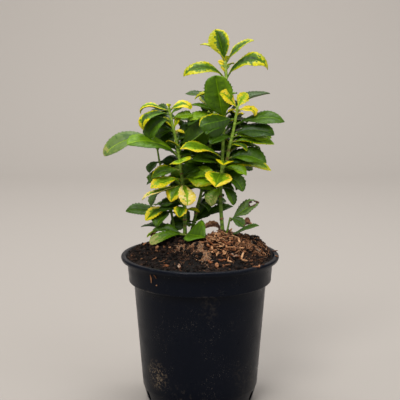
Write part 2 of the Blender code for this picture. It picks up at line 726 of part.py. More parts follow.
def foot_twig_line(twig):
    """Both ends of a foot twig, which starts clear of its stem's side."""
    heading, rise = math.radians(twig.heading), math.radians(twig.rise)
    out = Vector((math.cos(heading), math.sin(heading), 0.0))
    clear = stem_radius(twig.stem, twig.height) + FOOT_TWIG_RADIUS * math.sin(rise) + 2 * GAP
    start = stem_at(twig.stem, twig.height) + out * clear
    return start, start + (out * math.cos(rise) + Vector((0, 0, math.sin(rise)))) * twig.length


def foot_twig_body(name, twig, home):
    start, tip = foot_twig_line(twig)
    radii = [FOOT_TWIG_RADIUS, 0.95 * FOOT_TWIG_RADIUS, 0.9 * FOOT_TWIG_RADIUS]
    return tube(name, [start, start.lerp(tip, 0.5), tip], radii, home, STEM_SIDES)


def main():
    clear_scene()
    spindle = collection("japanese_spindle")
    pot = make_pot(spindle, collection("drains"))
    soil = make_soil(spindle, collection("sockets"))
    garden = Garden()
    garden.add_limb("pot", pot)
    garden.add_limb("soil", soil)
    for name in BARE_UNTIL:
        stem = stem_piece(f"{name}_stem", name, foot_height(name), BARE_UNTIL[name], spindle)
        garden.add_limb(name, stem)
    bodies = {}
    for name, mass in MASSES.items():
        bodies[name] = stem_piece(name, mass.stem, mass.start + GAP, mass.end, spindle)
        garden.add_limb(mass.stem, bodies[name])
    for name, twig in FOOT_TWIGS.items():
        bodies[name] = foot_twig_body(name, twig, spindle)
        garden.add_limb(name, bodies[name])
    for name, leaves in plan_leaves(garden).items():
        make_mass(name, leaves, garden, bodies[name])


main()
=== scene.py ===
"""The looks of a potted golden-variegated Japanese spindle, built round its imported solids.

Metres, +Z up. A heading is the compass direction in which a leaf or twig sets out, in degrees
from +X towards +Y, so 90 points away from the viewer and 270 towards the viewer.
"""

import math
import random
from dataclasses import dataclass, field, replace

import bmesh
import bpy
import numpy as np
from mathutils import Matrix, Vector
from mathutils.bvhtree import BVHTree


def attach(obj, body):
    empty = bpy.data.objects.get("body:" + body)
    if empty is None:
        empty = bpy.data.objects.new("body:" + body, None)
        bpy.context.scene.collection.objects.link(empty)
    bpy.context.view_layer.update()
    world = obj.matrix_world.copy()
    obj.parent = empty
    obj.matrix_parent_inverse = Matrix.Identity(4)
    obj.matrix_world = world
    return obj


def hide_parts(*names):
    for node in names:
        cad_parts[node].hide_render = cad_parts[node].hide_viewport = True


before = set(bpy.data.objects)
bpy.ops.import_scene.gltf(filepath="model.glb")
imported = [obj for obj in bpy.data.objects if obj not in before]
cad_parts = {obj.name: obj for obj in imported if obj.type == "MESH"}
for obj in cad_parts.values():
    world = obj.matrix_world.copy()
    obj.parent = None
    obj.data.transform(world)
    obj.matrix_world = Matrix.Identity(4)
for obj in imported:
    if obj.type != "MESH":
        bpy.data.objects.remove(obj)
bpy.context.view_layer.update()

# The pot, as its solid has it
RIM_RADIUS = 0.085
POT_HEIGHT = 0.162
WALL = 0.0018
FLOOR = 0.003
COLLAR_TOP_RADIUS = 0.0785
COLLAR_FOOT_RADIUS = 0.0768
COLLAR_FOOT = 0.1350
BODY_TOP_RADIUS = 0.0714
BODY_FOOT_RADIUS = 0.0626
CHAMFER_HEIGHT = 0.0180
FOOT_RADIUS = 0.0545
DRAINS = 8
DRAIN_RADIUS = 0.0045
BEAD_DEPTH = 0.0046
COLLAR_HEIGHT = POT_HEIGHT - BEAD_DEPTH - COLLAR_FOOT

# How finely the pot is turned, and how far each drain hole's cutter reaches
POT_STEPS = 160
DRAIN_CUT = 0.016

# The soil, as its solid has it
GAP = 0.0003
SOIL_EDGE = 0.1585
DOME = 0.0135
MOUNDS = (
    # x, y, spread, height: the coarse heap on the right, the ridge in front, the hollow, the left
    (0.030, 0.014, 0.026, 0.0105),
    (0.000, -0.020, 0.012, 0.0035),
    (-0.022, -0.030, 0.018, -0.0050),
    (-0.024, 0.026, 0.020, 0.0060),
)
SOCKET_DEPTH = 0.0030

# Stems
STEM_SIDES = 8
FLARE = 0.45
FLARE_HEIGHT = 0.004
LEVEL_CUT = 0.0012
STEM_STEP = 0.009
FOOT_TWIG_RADIUS = 0.0010
STEM_SAMPLES = 48

# Leaves, as shares of a leaf's own length
PETIOLE = 0.12
STATIONS = (0.0, 0.12, 0.27, 0.45, 0.63, 0.82, 1.0)
KEEL = 1 / 75
LEAST_KEEL = 0.00055
PETIOLE_HALF_WIDTH = 0.0007
WIDEST = 1.3
ROUNDNESS = 0.72
BEND = 0.8
CURL_START = 0.55

# How a leaf that would touch something is turned, in degrees of heading and rise
TURNS = (
    (0, 0), (7, 0), (-7, 0), (0, 7), (0, -7), (13, 0), (-13, 0), (7, 9), (-7, 9), (7, -9),
    (-7, -9), (20, 5), (-20, 5), (20, -5), (-20, -5), (0, 16), (0, -16), (28, 8), (-28, 8),
)
CLEARANCE = 0.0005
SMALL_LEAF = 0.02
TWIG_BREADTH = 0.12
SEED = 7


@dataclass(frozen=True)
class Look:
    """A leaf's colours. Green runs from dark to fresh, and the blue value is the share of a bluish
    cast that is partly the leaf's own bluish tint and partly a painted sheen. Left and right are
    the shares of each half that the yellow margin takes, tip the share of the length that is yellow
    at the end, and hue runs from lime over yellow to gold and cream. Streak mottles the yellow with
    green, dead is the share of dry brown, and the lean value paints the left half lighter and the
    right half darker, as painted light and shade. Edge is how much fresher the green beside the
    yellow is, pale is the share of the length that fades at the end, and hole burns a hole through
    the blade."""

    green: float = 0.35
    blue: float = 0.0
    left: float = 0.0
    right: float = 0.0
    tip: float = 0.0
    hue: float = 0.6
    streak: float = 0.15
    dead: float = 0.0
    painted_half_light: float = 0.0
    edge: float = 0.2
    pale: float = 0.0
    hole: bool = False


@dataclass(frozen=True)
class Leaf:
    """One leaf: its heading, length, rise at the foot and droop to the tip, its breadth as a share
    of its length, its roll to one side, the fold along its middle and the curl of its tip. Seen
    holds the values that differ in the leaf that is seen. Blunt rounds the tip, skew makes the
    left half wider than the right one, and drop lowers the foot on its stem."""

    heading: float
    length: float
    rise: float = 20
    droop: float = 35
    broad: float = 0.48
    roll: float = 0
    fold: float = 8
    curl: float = 0
    look: Look = None
    seen: dict = field(default_factory=dict)
    blunt: float = 0.0
    skew: float = 0.0
    drop: float = 0.0


@dataclass(frozen=True)
class Stem:
    """One stem: its radius at the foot and at the tip, and points that its middle passes."""

    foot_radius: float
    tip_radius: float
    path: tuple


@dataclass(frozen=True)
class Mass:
    """One mass of leaves on a stem, from one height to the next: its number of short side twigs
    and its pairs of leaves, each after its height."""

    stem: str
    start: float
    end: float
    sprouts: int
    pairs: tuple


@dataclass(frozen=True)
class FootTwig:
    """A short twig beside a stem near the soil, with leaves at shares of its length."""

    stem: str
    height: float
    heading: float
    length: float
    rise: float
    leaves: tuple


STEMS = {
    "left": Stem(0.0021, 0.0013, (
        (-0.0164, 0.020, 0.176), (-0.0175, 0.021, 0.222), (-0.0232, 0.020, 0.268),
        (-0.0335, 0.019, 0.318),
    )),
    "tall": Stem(0.0022, 0.0016, (
        (0.0252, 0.012, 0.176), (0.0222, 0.014, 0.220), (0.0240, 0.015, 0.257),
        (0.0262, 0.020, 0.310), (0.0279, 0.027, 0.348), (0.0272, 0.029, 0.366),
    )),
    "right": Stem(0.0019, 0.0013, (
        (0.0281, 0.0132, 0.2590), (0.0296, 0.0126, 0.2650), (0.0313, 0.0120, 0.2760),
        (0.0357, 0.0120, 0.2940), (0.0400, 0.0110, 0.3200),
    )),
    "middle": Stem(0.0019, 0.0012, (
        (-0.0105, 0.038, 0.174), (-0.0024, 0.037, 0.2077), (0.0020, 0.036, 0.2258),
        (0.0077, 0.034, 0.2540), (0.0120, 0.032, 0.2820), (0.0142, 0.031, 0.3064),
    )),
    "side": Stem(0.0016, 0.0010, (
        (-0.0270, 0.036, 0.172), (-0.0340, 0.036, 0.212), (-0.0430, 0.034, 0.250),
        (-0.0475, 0.033, 0.277),
    )),
}
BARE_UNTIL = {"left": 0.2010, "tall": 0.2290, "middle": 0.1840, "side": 0.1970}

# Looks that several leaves share
DARK = Look(0.12)
PLAIN = Look(0.35)
FRESH = Look(0.70)
BLUISH = Look(0.22, 0.9)
OLIVE = Look(0.42, 0.0, 0.14, 0.14, 0.0, 0.0)
LIME = Look(0.8, 0.0, 0.8, 0.8, 0.0, 0.05, 0.4)
GOLD = Look(0.5, 0.0, 1.0, 1.0, 0.0, 0.75, 0.1)
DEAD = Look(0.1, dead=1.5)

MASSES = {
    "left_lower_leaves": Mass("left", 0.2010, 0.2470, 2, (
        (0.2090, Leaf(250, 0.020, 20, 80, 0.75, look=Look(0.5, 0, 0.34, 0.3, 0.1, 0.6)),
         Leaf(82, 0.034, 20, 30)),
        (0.2070, Leaf(350, 0.017, 4, 24, 0.50, 20, look=LIME),
         Leaf(170, 0.030, 14, 30, 0.50, -30, look=DARK)),
        (0.2300, Leaf(218, 0.023, -24, 46, 0.56, look=Look(0.6, 0, 0.04, 0.3, 0.34, 0.8),
              seen=dict(heading=222, length=0.026, rise=-30, droop=30, broad=0.76, drop=-0.006)),
         Leaf(58, 0.036, 20, 40)),
        (0.2330, Leaf(192, 0.048, -2, 24, 0.22, -10, look=Look(0.55, 0, 0.2, 0.3, 0.45, 1.4, 0.4)),
         Leaf(352, 0.036, 4, 20, 0.40, 20, look=FRESH)),
        (0.2350, Leaf(282, 0.028, -4, 66, 0.64, look=Look(0.8, 0, 0.55, 0.50, 0.72, 1.45, 0.25),
              seen=dict(heading=284, length=0.032, broad=0.60, roll=-10, blunt=0.3)),
         Leaf(108, 0.036, 30, 40)),
        (0.2400, Leaf(200, 0.037, 22, 64, 0.44, -34, 0,
              look=Look(0.8, 0, 0.62, 0.25, 0.4, 0.6, 0.7),
              seen=dict(heading=200, broad=0.42, length=0.038, rise=12, droop=40, roll=-24)),
         Leaf(12, 0.036, 28, 40, 0.50, 34, look=Look(0.60, 0, 0.0, 0.26, 0.16, -0.1, 0.8),
              seen=dict(heading=336, length=0.038, rise=30, droop=60, broad=0.70, roll=40))),
    )),
    "left_middle_leaves": Mass("left", 0.2470, 0.2900, 1, (
        (0.2650, Leaf(190, 0.061, 51, 60, 0.32, -22, 0, look=Look(0.48, painted_half_light=-0.26),
              seen=dict(heading=206, length=0.065, rise=50, broad=0.48, roll=-30, blunt=0.1)),
         Leaf(8, 0.034, 22, 40, 0.50, 20, look=PLAIN, seen=dict(heading=44))),
        (0.2700, Leaf(350, 0.047, 44, 12, 0.58, -64, look=Look(0.08, 0.3, painted_half_light=0.1)),
         Leaf(120, 0.034, 30, 40, look=Look(0.22),
              seen=dict(heading=156, rise=46, broad=0.64, roll=-40))),
        (0.2610, Leaf(286, 0.032, 6, 6, 0.60, 16, 26,
              look=Look(0.7, 0.2, 0.2, 0.3, 0.1, -0.1, 0.8),
              seen=dict(heading=272, length=0.036, rise=4, droop=4, roll=23, fold=-6,
                   drop=-0.002)),
         Leaf(104, 0.042, 30, 44)),
        (0.2560, Leaf(248, 0.026, -10, 60, 0.66, look=Look(0.42, painted_half_light=0.06),
              seen=dict(heading=76, length=0.034, rise=-60, droop=14, broad=0.68, drop=-0.006)),
         Leaf(66, 0.040, 30, 50)),
        (0.2500, Leaf(184, 0.034, 12, 46, 0.50, -36, look=Look(0.5, 0.4, 0.0, 0.12, 0.05, 0.3)),
         Leaf(8, 0.032, 22, 26, 0.50, 36)),
        (0.2800, Leaf(250, 0.030, 8, 50, 0.50, look=Look(0.2), seen=dict(heading=76)),
         Leaf(70, 0.042, 36, 50)),
    )),
    "left_top_leaves": Mass("left", 0.2900, 0.3180, 0, (
        (0.3150, Leaf(178, 0.044, 31, 44, 0.34, -8, 6, 130, look=Look(0.62, 0, 0.5, 0.3, 0.15, 0.6),
              seen=dict(length=0.036, rise=13, droop=8, broad=0.36, roll=-18, curl=90)),
         Leaf(355, 0.030, 52, 60, 0.38, 10, 6, 70, look=Look(0.6, 0, 0.4, 0.5, 0.5, 0.7, 0.3),
              seen=dict(length=0.027, rise=46, broad=0.5, roll=30, curl=60, blunt=0.35))),
        (0.3110, Leaf(205, 0.045, 22, 70, 0.46, -20, 0, 70,
              look=Look(0.26, 0, 0.0, 0.34, 0.34, 0.3, 0.4), seen=dict(length=0.043, broad=0.40)),
         Leaf(26, 0.022, 38, 20, 0.40, 20, look=FRESH)),
        (0.3060, Leaf(226, 0.042, 22, 104, 0.56, -8, look=Look(0.28, painted_half_light=0.07),
              seen=dict(heading=206, length=0.036, broad=0.70, roll=-20, drop=0.002)),
         Leaf(352, 0.024, 30, 40, 0.50, 30, look=FRESH)),
        (0.2950, Leaf(168, 0.014, 60, 20, 0.40, -40, look=LIME, seen=dict(length=0.017)),
         Leaf(10, 0.014, 66, 10, 0.44, 40, look=LIME, seen=dict(length=0.017))),
        (0.2930, Leaf(350, 0.012, 10, 40, 0.60, 20, look=GOLD),
         Leaf(110, 0.034, 30, 40, look=Look(0.3),
              seen=dict(heading=154, length=0.030, rise=4, droop=46, broad=0.62, roll=-46))),
        (0.3170, Leaf(104, 0.008, 60, 40, look=LIME), Leaf(290, 0.006, 70, 20, look=LIME)),
    )),
    "tall_lower_leaves": Mass("tall", 0.2290, 0.2590, 1, (
        (0.2500, Leaf(262, 0.038, 4, 36, 0.66, 0, 8,
              look=Look(0.62, 0, 0.34, 0.42, 0.30, 0.85, 0.35),
              seen=dict(heading=258, length=0.036, broad=0.78, roll=-10, drop=0.0018)),
         Leaf(84, 0.040, 26, 40)),
        (0.2445, Leaf(340, 0.031, 10, 76, 0.54, 34, look=Look(0.3, 0.3), seen=dict(broad=0.62)),
         Leaf(162, 0.036, 14, 34, 0.50, -20, look=FRESH)),
        (0.2570, Leaf(2, 0.055, 20, 48, 0.28, 8, 0, look=Look(0.7, 0, 0.3, 0.16, 0.2, 0.2, 0.4),
              seen=dict(broad=0.32, roll=26)),
         Leaf(184, 0.034, 20, 34, 0.50, -30, look=Look(0.3))),
        (0.2540, Leaf(336, 0.030, 14, 50, 0.56, 20, look=Look(0.68)), Leaf(150, 0.034, 30, 40)),
        (0.2335, Leaf(338, 0.026, -24, 50, 0.50, 20, look=Look(0.36, 0.1, painted_half_light=-0.2),
              seen=dict(broad=0.6)),
         Leaf(222, 0.026, -24, 52, 0.54, look=Look(0.8, 0.3, pale=0.7),
              seen=dict(heading=227, broad=0.74))),
    )),
    "tall_middle_leaves": Mass("tall", 0.2590, 0.3240, 1, (
        (0.3130, Leaf(232, 0.042, 70, -4, 0.78, 36, 6, look=Look(0.46, painted_half_light=-0.12),
              seen=dict(length=0.054, rise=72, droop=-2, broad=0.54, drop=0.0120, roll=-144,
                   fold=8, blunt=0.5)),
         Leaf(80, 0.030, 30, 30)),
        (0.3100, Leaf(176, 0.038, 27, 18, 0.36, -16, look=Look(0.42)),
         Leaf(12, 0.056, 40, 26, 0.40, 12, look=BLUISH)),
        (0.3180, Leaf(156, 0.049, 34, 30, 0.36, -12, look=Look(0.34, 0.8)),
         Leaf(62, 0.036, 20, 40)),
        (0.2640, Leaf(188, 0.050, 44, 58, 0.38, -22, 0, look=Look(0.7, 0, 0.22, 0.04, 0.12, 0.7),
              seen=dict(rise=41, droop=46)),
         Leaf(110, 0.042, 20, 40)),
        (0.3030, Leaf(180, 0.041, 28, 44, 0.42, -26, look=Look(0.78)), Leaf(50, 0.042, 20, 44)),
        (0.2870, Leaf(176, 0.042, 28, 44, 0.50, -24), Leaf(34, 0.044, 28, 44, look=DARK)),
        (0.2940, Leaf(236, 0.034, 20, 40, 0.50, look=Look(0.2)), Leaf(92, 0.044, 34, 44)),
        (0.2720, Leaf(250, 0.030, 6, 30, 0.56, look=Look(0.28), seen=dict(heading=64)),
         Leaf(68, 0.044, 28, 40)),
    )),
    "tall_top_leaves": Mass("tall", 0.3240, 0.3660, 0, (
        (0.3655, Leaf(134, 0.038, 74, 8, 0.64, -36, 8,
              look=Look(0.34, 0.3, 0.62, 0.26, 0.14, -0.05, 0.5, edge=0.05),
              seen=dict(heading=142, skew=0.18)),
         Leaf(300, 0.010, 60, 20, look=LIME)),
        (0.3480, Leaf(186, 0.052, 50, 84, 0.40, -30, 0,
              look=Look(0.40, 0, 0.36, 0.36, 0.3, 0.0, 0.5, edge=0.08),
              seen=dict(rise=56, droop=90, broad=0.37)),
         Leaf(352, 0.058, 76, 94, 0.38, 30, 0, 20,
              look=Look(0.30, 0.3, 0.40, 0.30, 0.32, 0.0, 0.5, edge=0.1),
              seen=dict(rise=70, droop=90, curl=44, broad=0.43, roll=34, blunt=-0.5))),
        (0.3650, Leaf(9, 0.040, 60, 38, 0.40, 26, 6,
              look=Look(0.38, 0.3, 0.36, 0.3, 0.24, 0.0, 0.5, edge=0.1),
              seen=dict(broad=0.34, blunt=0.3)),
         Leaf(156, 0.032, 60, 44, 0.28, look=LIME, seen=dict(rise=72, droop=66, length=0.038))),
        (0.3275, Leaf(188, 0.036, 34, 76, 0.24, 0, look=LIME), Leaf(40, 0.018, 40, 40, look=FRESH)),
        (0.3620, Leaf(200, 0.010, 50, 40, 0.60, look=GOLD, seen=dict(roll=-60)),
         Leaf(20, 0.011, 30, 30, look=LIME)),
        (0.3540, Leaf(214, 0.010, 60, 30, look=GOLD, seen=dict(roll=-60)),
         Leaf(96, 0.024, 50, 50, look=FRESH)),
    )),
    "right_lower_leaves": Mass("right", 0.2604, 0.2940, 1, (
        (0.2820, Leaf(354, 0.047, 12, 26, 0.30, 10, 4, look=Look(0.62, 0, 0.0, 0.1, 0.0, 0.1),
              seen=dict(broad=0.34, roll=24)),
         Leaf(226, 0.040, 56, 60, 0.44, -50)),
        (0.2900, Leaf(350, 0.046, 26, 44, 0.52, 42, 0, look=Look(0.14, 0.5)),
         Leaf(60, 0.044, 30, 40)),
        (0.2640, Leaf(348, 0.044, 24, 52, 0.54, 42, 4, look=Look(0.32, painted_half_light=-0.18)),
         Leaf(150, 0.030, 40, 30)),
        (0.2870, Leaf(5, 0.044, 12, 26, 0.36, 12, 4, look=Look(0.8, 0, 0.1, 0.0, 0.0, 0.0, 0.6),
              seen=dict(rise=22, droop=42, broad=0.44, roll=30)),
         Leaf(220, 0.032, 20, 50, 0.50, -20, look=Look(0.25))),
        (0.2690, Leaf(266, 0.028, 10, 6, 0.62, 0, 34, look=Look(0.5, 0, 0.5, 0.5, 0.3, 0.45, 0.4),
              seen=dict(heading=262, drop=0.0085, length=0.030, broad=0.60, fold=15, droop=16,
                   roll=-8)),
         Leaf(64, 0.040, 30, 40)),
        (0.2780, Leaf(345, 0.022, 34, 90, 0.40, 20, look=OLIVE), Leaf(106, 0.042, 34, 50)),
    )),
    "right_top_leaves": Mass("right", 0.2940, 0.3200, 0, (
        (0.3180, Leaf(222, 0.027, 44, 10, 0.44, 34, look=Look(0.7, 0, 0.85, 0.85, 0.3, 0.7, 0.55),
              seen=dict(heading=206, rise=50, roll=-62, curl=30, broad=0.5)),
         Leaf(42, 0.021, 54, 8, 0.60, 40, look=Look(0.95, 0, 0.7, 0.7, 0.3, 0.4, 0.8))),
        (0.3160, Leaf(2, 0.024, 14, 34, 0.34, 10, 10, 140, look=GOLD,
              seen=dict(broad=0.5, roll=30, curl=100)),
         Leaf(198, 0.011, 20, 50, 0.50, look=GOLD)),
        (0.3010, Leaf(2, 0.055, 30, 46, 0.38, 14, 0, look=Look(0.30),
              seen=dict(rise=26, droop=40, broad=0.42, roll=20)),
         Leaf(112, 0.034, 20, 40)),
        (0.3070, Leaf(204, 0.042, -2, 12, 0.44, -50, 0, look=Look(0.2, 0, 0.0, 0.1, 0.0, 0.1),
              seen=dict(broad=0.74, roll=-60, fold=-28)),
         Leaf(80, 0.034, 10, 40)),
        (0.3110, Leaf(336, 0.009, 40, 60, look=GOLD), Leaf(98, 0.024, 5, 30)),
    )),
    "middle_lower_leaves": Mass("middle", 0.1840, 0.2490, 1, (
        (0.1900, Leaf(8, 0.047, 32, 22, 0.32, 20, look=Look(0.16, 0.3)),
         Leaf(130, 0.026, 14, 20, look=DARK,
              seen=dict(heading=176, length=0.027, rise=2, broad=0.66, roll=-58))),
        (0.1870, Leaf(48, 0.029, 48, 14, 0.64, 44, look=DARK),
         Leaf(250, 0.020, 20, 30, 0.60, look=PLAIN)),
        (0.2100, Leaf(304, 0.022, 16, 50, 0.60, look=DARK), Leaf(60, 0.034, 8, 34)),
        (0.2280, Leaf(356, 0.036, 18, 36, 0.50, 20, look=PLAIN),
         Leaf(172, 0.032, 22, 40, 0.50, -20, look=DARK)),
        (0.2250, Leaf(330, 0.026, 10, 46, 0.50, look=DARK), Leaf(110, 0.036, 22, 40)),
    )),
    "middle_top_leaves": Mass("middle", 0.2490, 0.3064, 2, (
        (0.2750, Leaf(236, 0.028, 22, 50, 0.56, look=DARK), Leaf(150, 0.044, 30, 44)),
        (0.2960, Leaf(250, 0.030, 30, 50, 0.60, look=DARK),
         Leaf(160, 0.042, 34, 44, 0.48, -20, look=PLAIN)),
        (0.2520, Leaf(208, 0.034, 16, 46, 0.56, -26, look=DARK), Leaf(30, 0.038, 24, 40, 0.50, 20)),
        (0.2580, Leaf(294, 0.030, 20, 60, 0.60, look=Look(0.36),
              seen=dict(heading=208, length=0.027, rise=-8, droop=14, broad=0.74, roll=-58,
                   drop=0.003)),
         Leaf(118, 0.044, 26, 44)),
        (0.2810, Leaf(330, 0.032, 34, 50, 0.50, look=DARK), Leaf(62, 0.046, 28, 44)),
        (0.3010, Leaf(216, 0.034, 34, 50, look=DARK), Leaf(86, 0.044, 34, 44)),
        (0.3060, Leaf(300, 0.020, 60, 30, look=FRESH), Leaf(118, 0.034, 62, 30)),
    )),
    "side_leaves": Mass("side", 0.1970, 0.2770, 1, (
        (0.2725, Leaf(186, 0.064, 44, 86, 0.48, -44, 0, look=Look(0.64, 0.9, pale=0.05, painted_half_light=0.08),
              seen=dict(heading=184, length=0.067, rise=51, droop=105, broad=0.41, roll=-36,
                   blunt=0.1)),
         Leaf(14, 0.030, 20, 40)),
        (0.2010, Leaf(178, 0.051, 9, 14, 0.34, -30, look=Look(0.2)),
         Leaf(84, 0.030, 20, 30, look=Look(0.18),
              seen=dict(heading=12, length=0.024, rise=-14, droop=20, broad=0.72, roll=54))),
        (0.2060, Leaf(204, 0.033, 2, 44, 0.42, -30, look=Look(0.5, 0, 0.3, 0.46, 0.35, 0.6)),
         Leaf(40, 0.026, 20, 30)),
        (0.2030, Leaf(230, 0.029, -10, 36, 0.70, look=Look(0.28)), Leaf(124, 0.034, 24, 40)),
        (0.2260, Leaf(212, 0.028, 10, 90, 0.44, look=Look(0.5, 1.0)), Leaf(50, 0.034, 24, 40)),
        (0.2400, Leaf(188, 0.020, 0, 40, 0.44, -20, look=BLUISH), Leaf(80, 0.036, 26, 40)),
        (0.2500, Leaf(226, 0.022, -16, 40, 0.60, look=Look(0.3)), Leaf(36, 0.022, 24, 30)),
        (0.2580, Leaf(214, 0.018, -10, 60, 0.70, -20, look=BLUISH),
         Leaf(80, 0.036, 24, 50, look=Look(0.1, 0.8),
              seen=dict(heading=352, length=0.017, rise=4, droop=30, broad=0.85, roll=40))),
        (0.2765, Leaf(276, 0.012, 30, 40, look=FRESH), Leaf(100, 0.036, 40, 40, 0.50)),
    )),
}

FOOT_TWIGS = {
    "left_foot_leaves": FootTwig("left", 0.1795, 262, 0.0050, 10, (
        (1.0, Leaf(199, 0.040, 14, 46, 0.38, -28, look=Look(0.45, pale=0.45),
              seen=dict(blunt=0.3))),
        (1.0, Leaf(346, 0.030, 10, 28, 0.80, 30, 34, look=Look(0.42),
              seen=dict(heading=312, length=0.034, rise=8, droop=6, broad=0.96, roll=34, fold=26))),
        (0.6, Leaf(182, 0.036, 24, 30, 0.40, -20, look=Look(0.26))),
    )),
    "right_foot_leaves": FootTwig("tall", 0.1812, 345, 0.0185, 78, (
        (0.97, Leaf(8, 0.035, 40, 14, 0.50, 25, look=Look(0.55, 0.9, hole=True),
              seen=dict(length=0.038, drop=0.0025, broad=0.46, rise=41))),
        (0.8, Leaf(346, 0.022, -10, 30, 0.60, 40, look=Look(0.42, 0.9),
              seen=dict(heading=338, length=0.020, drop=-0.004))),
        (0.16, Leaf(350, 0.037, 17, 6, 0.26, 20, look=Look(0.34, 0.7),
              seen=dict(heading=328, rise=24, droop=0, roll=14, length=0.042, drop=0.005))),
    )),
    "side_foot_leaves": FootTwig("side", 0.1815, 178, 0.0050, 20, (
        (1.0, Leaf(180, 0.030, 8, 6, 0.24, look=DARK)),
        (0.7, Leaf(140, 0.030, 24, 40, look=DARK)),
        (1.0, Leaf(206, 0.027, -4, 24, 0.30, look=OLIVE)),
    )),
}

# Further leaves behind the ones above, drawn by a seeded rule, by mass
INFILL = {
    "left_lower_leaves": 8, "left_middle_leaves": 12, "left_top_leaves": 6,
    "tall_lower_leaves": 8, "tall_middle_leaves": 20, "right_lower_leaves": 9,
    "right_top_leaves": 4, "middle_lower_leaves": 12, "middle_top_leaves": 24, "side_leaves": 8,
}
# Where those may stand, in a picture 400 wide and high: bands, each from its top to its foot and
# from its left to its right end, and openings in them: left, top, right, foot
BANDS = (
    (104, 115, 150, 184), (113, 135, 148, 266), (135, 150, 160, 264), (150, 165, 162, 262),
    (165, 175, 152, 258), (175, 190, 153, 242), (190, 205, 158, 232), (205, 222, 152, 222),
    (222, 234, 154, 208),
)
OPENINGS = (
    (192, 185, 204, 206), (186, 205, 194, 223), (135, 149, 158, 163), (152, 144, 161, 151),
    (234, 97, 239, 105), (240, 109, 251, 115), (219, 205, 260, 235), (203, 74, 236, 122),
)


# What several makers need


def stand(name, data):
    """An object that shows this data, put into the scene."""
    made = bpy.data.objects.new(name, data)
    bpy.context.scene.collection.objects.link(made)
    return made


def baked(shown):
    """A new mesh of an object with its curve or its modifiers worked out."""
    bpy.context.view_layer.update()
    graph = bpy.context.evaluated_depsgraph_get()
    return bpy.data.meshes.new_from_object(shown.evaluated_get(graph))


def tree_of(mesh, place):
    """A mesh at this place as a tree that finds what touches it."""
    points = [place @ v.co for v in mesh.vertices]
    return BVHTree.FromPolygons(points, [tuple(p.vertices) for p in mesh.polygons])


def tree_of_node(name):
    """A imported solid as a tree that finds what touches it."""
    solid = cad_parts[name]
    return tree_of(solid.data, solid.matrix_world)


# The source's rule for where limbs and leaves go


def soil_height(x, y):
    """The height of the soil's surface."""
    radius = min(1.0, math.hypot(x, y) / (COLLAR_TOP_RADIUS - WALL))
    height = SOIL_EDGE + DOME * (1 - radius ** 2.2)
    for middle_x, middle_y, spread, rise in MOUNDS:
        away = math.hypot(x - middle_x, y - middle_y) / spread
        height += rise * math.exp(-away * away) * (1 - radius ** 6)
    return height


def foot_height(name):
    """Where a stem starts: its flat cut, sunk a little into the soil, or its fork from another."""
    x, y, height = STEMS[name].path[0]
    return soil_height(x, y) - SOCKET_DEPTH if name in BARE_UNTIL else height


def spline_point(points, place):
    """A point of the smooth curve through the points, place from 0 to their number less 1."""
    last = len(points) - 1
    index = min(int(place), last - 1)
    share = place - index
    before = Vector(points[max(index - 1, 0)])
    start = Vector(points[index])
    end = Vector(points[index + 1])
    after = Vector(points[min(index + 2, last)])
    if index == 0:
        before = 2 * start - end
    if index + 2 > last:
        after = 2 * end - start
    return 0.5 * (
        2 * start
        + (end - before) * share
        + (2 * before - 5 * start + 4 * end - after) * share ** 2
        + (3 * start - before - 3 * end + after) * share ** 3
    )


def stem_line(name):
    """Samples of a stem's middle line, from its foot to its tip."""
    points = STEMS[name].path
    last = len(points) - 1
    line = [spline_point(points, last * i / STEM_SAMPLES) for i in range(STEM_SAMPLES + 1)]
    line[0].z = foot_height(name)
    return line


LINES = {name: stem_line(name) for name in STEMS}


def stem_at(name, height):
    """The point of a stem's middle line at this height."""
    line = LINES[name]
    for low, high in zip(line, line[1:]):
        if height <= high.z:
            return low.lerp(high, (height - low.z) / (high.z - low.z))
    return line[-1]


def stem_radius(name, height):
    """The radius, which tapers to the tip and flares at the foot."""
    stem = STEMS[name]
    low, high = foot_height(name), stem.path[-1][2]
    share = (height - low) / (high - low)
    flare = FLARE * math.exp(-(height - low) / FLARE_HEIGHT) if name in BARE_UNTIL else 0.0
    return (stem.foot_radius + (stem.tip_radius - stem.foot_radius) * share) * (1 + flare)


def tube_tree(points, radii):
    """A closed tube along points, as a tree that finds what touches it."""
    curve = bpy.data.curves.new("guide", "CURVE")
    curve.dimensions = "3D"
    curve.bevel_depth = 1.0
    curve.bevel_resolution = STEM_SIDES // 2 - 2
    curve.use_fill_caps = True
    spline = curve.splines.new("POLY")
    spline.points.add(len(points) - 1)
    for knot, point, radius in zip(spline.points, points, radii):
        knot.co = (*point, 1)
        knot.radius = radius
    guide = stand("guide", curve)
    mesh = baked(guide)
    bpy.data.objects.remove(guide)
    tree = tree_of(mesh, Matrix.Identity(4))
    bpy.data.meshes.remove(mesh)
    return tree


def stem_tree(stem, start, end):
    """The stretch of a stem between two heights."""
    count = max(3, round((end - start) / STEM_STEP))
    heights = [start + (end - start) * i / count for i in range(count + 1)]
    at_foot = stem in BARE_UNTIL and start <= foot_height(stem)
    if at_foot:
        heights[1:1] = [start + LEVEL_CUT, start + FLARE_HEIGHT]
    points = [stem_at(stem, height) for height in heights]
    radii = [stem_radius(stem, height) for height in heights]
    if at_foot:
        points[1] = points[0] + Vector((0, 0, LEVEL_CUT))
    return tube_tree(points, radii)


def half_width(leaf, share):
    """Half a leaf's width at this share of its length."""
    if share <= PETIOLE:
        return PETIOLE_HALF_WIDTH
    blade = (share - PETIOLE) / (1 - PETIOLE)
    swell = math.sin(math.pi * blade ** WIDEST) ** ROUNDNESS if blade < 1 else 0.0
    return max(PETIOLE_HALF_WIDTH * (1 - blade), 0.5 * leaf.broad * leaf.length * swell)


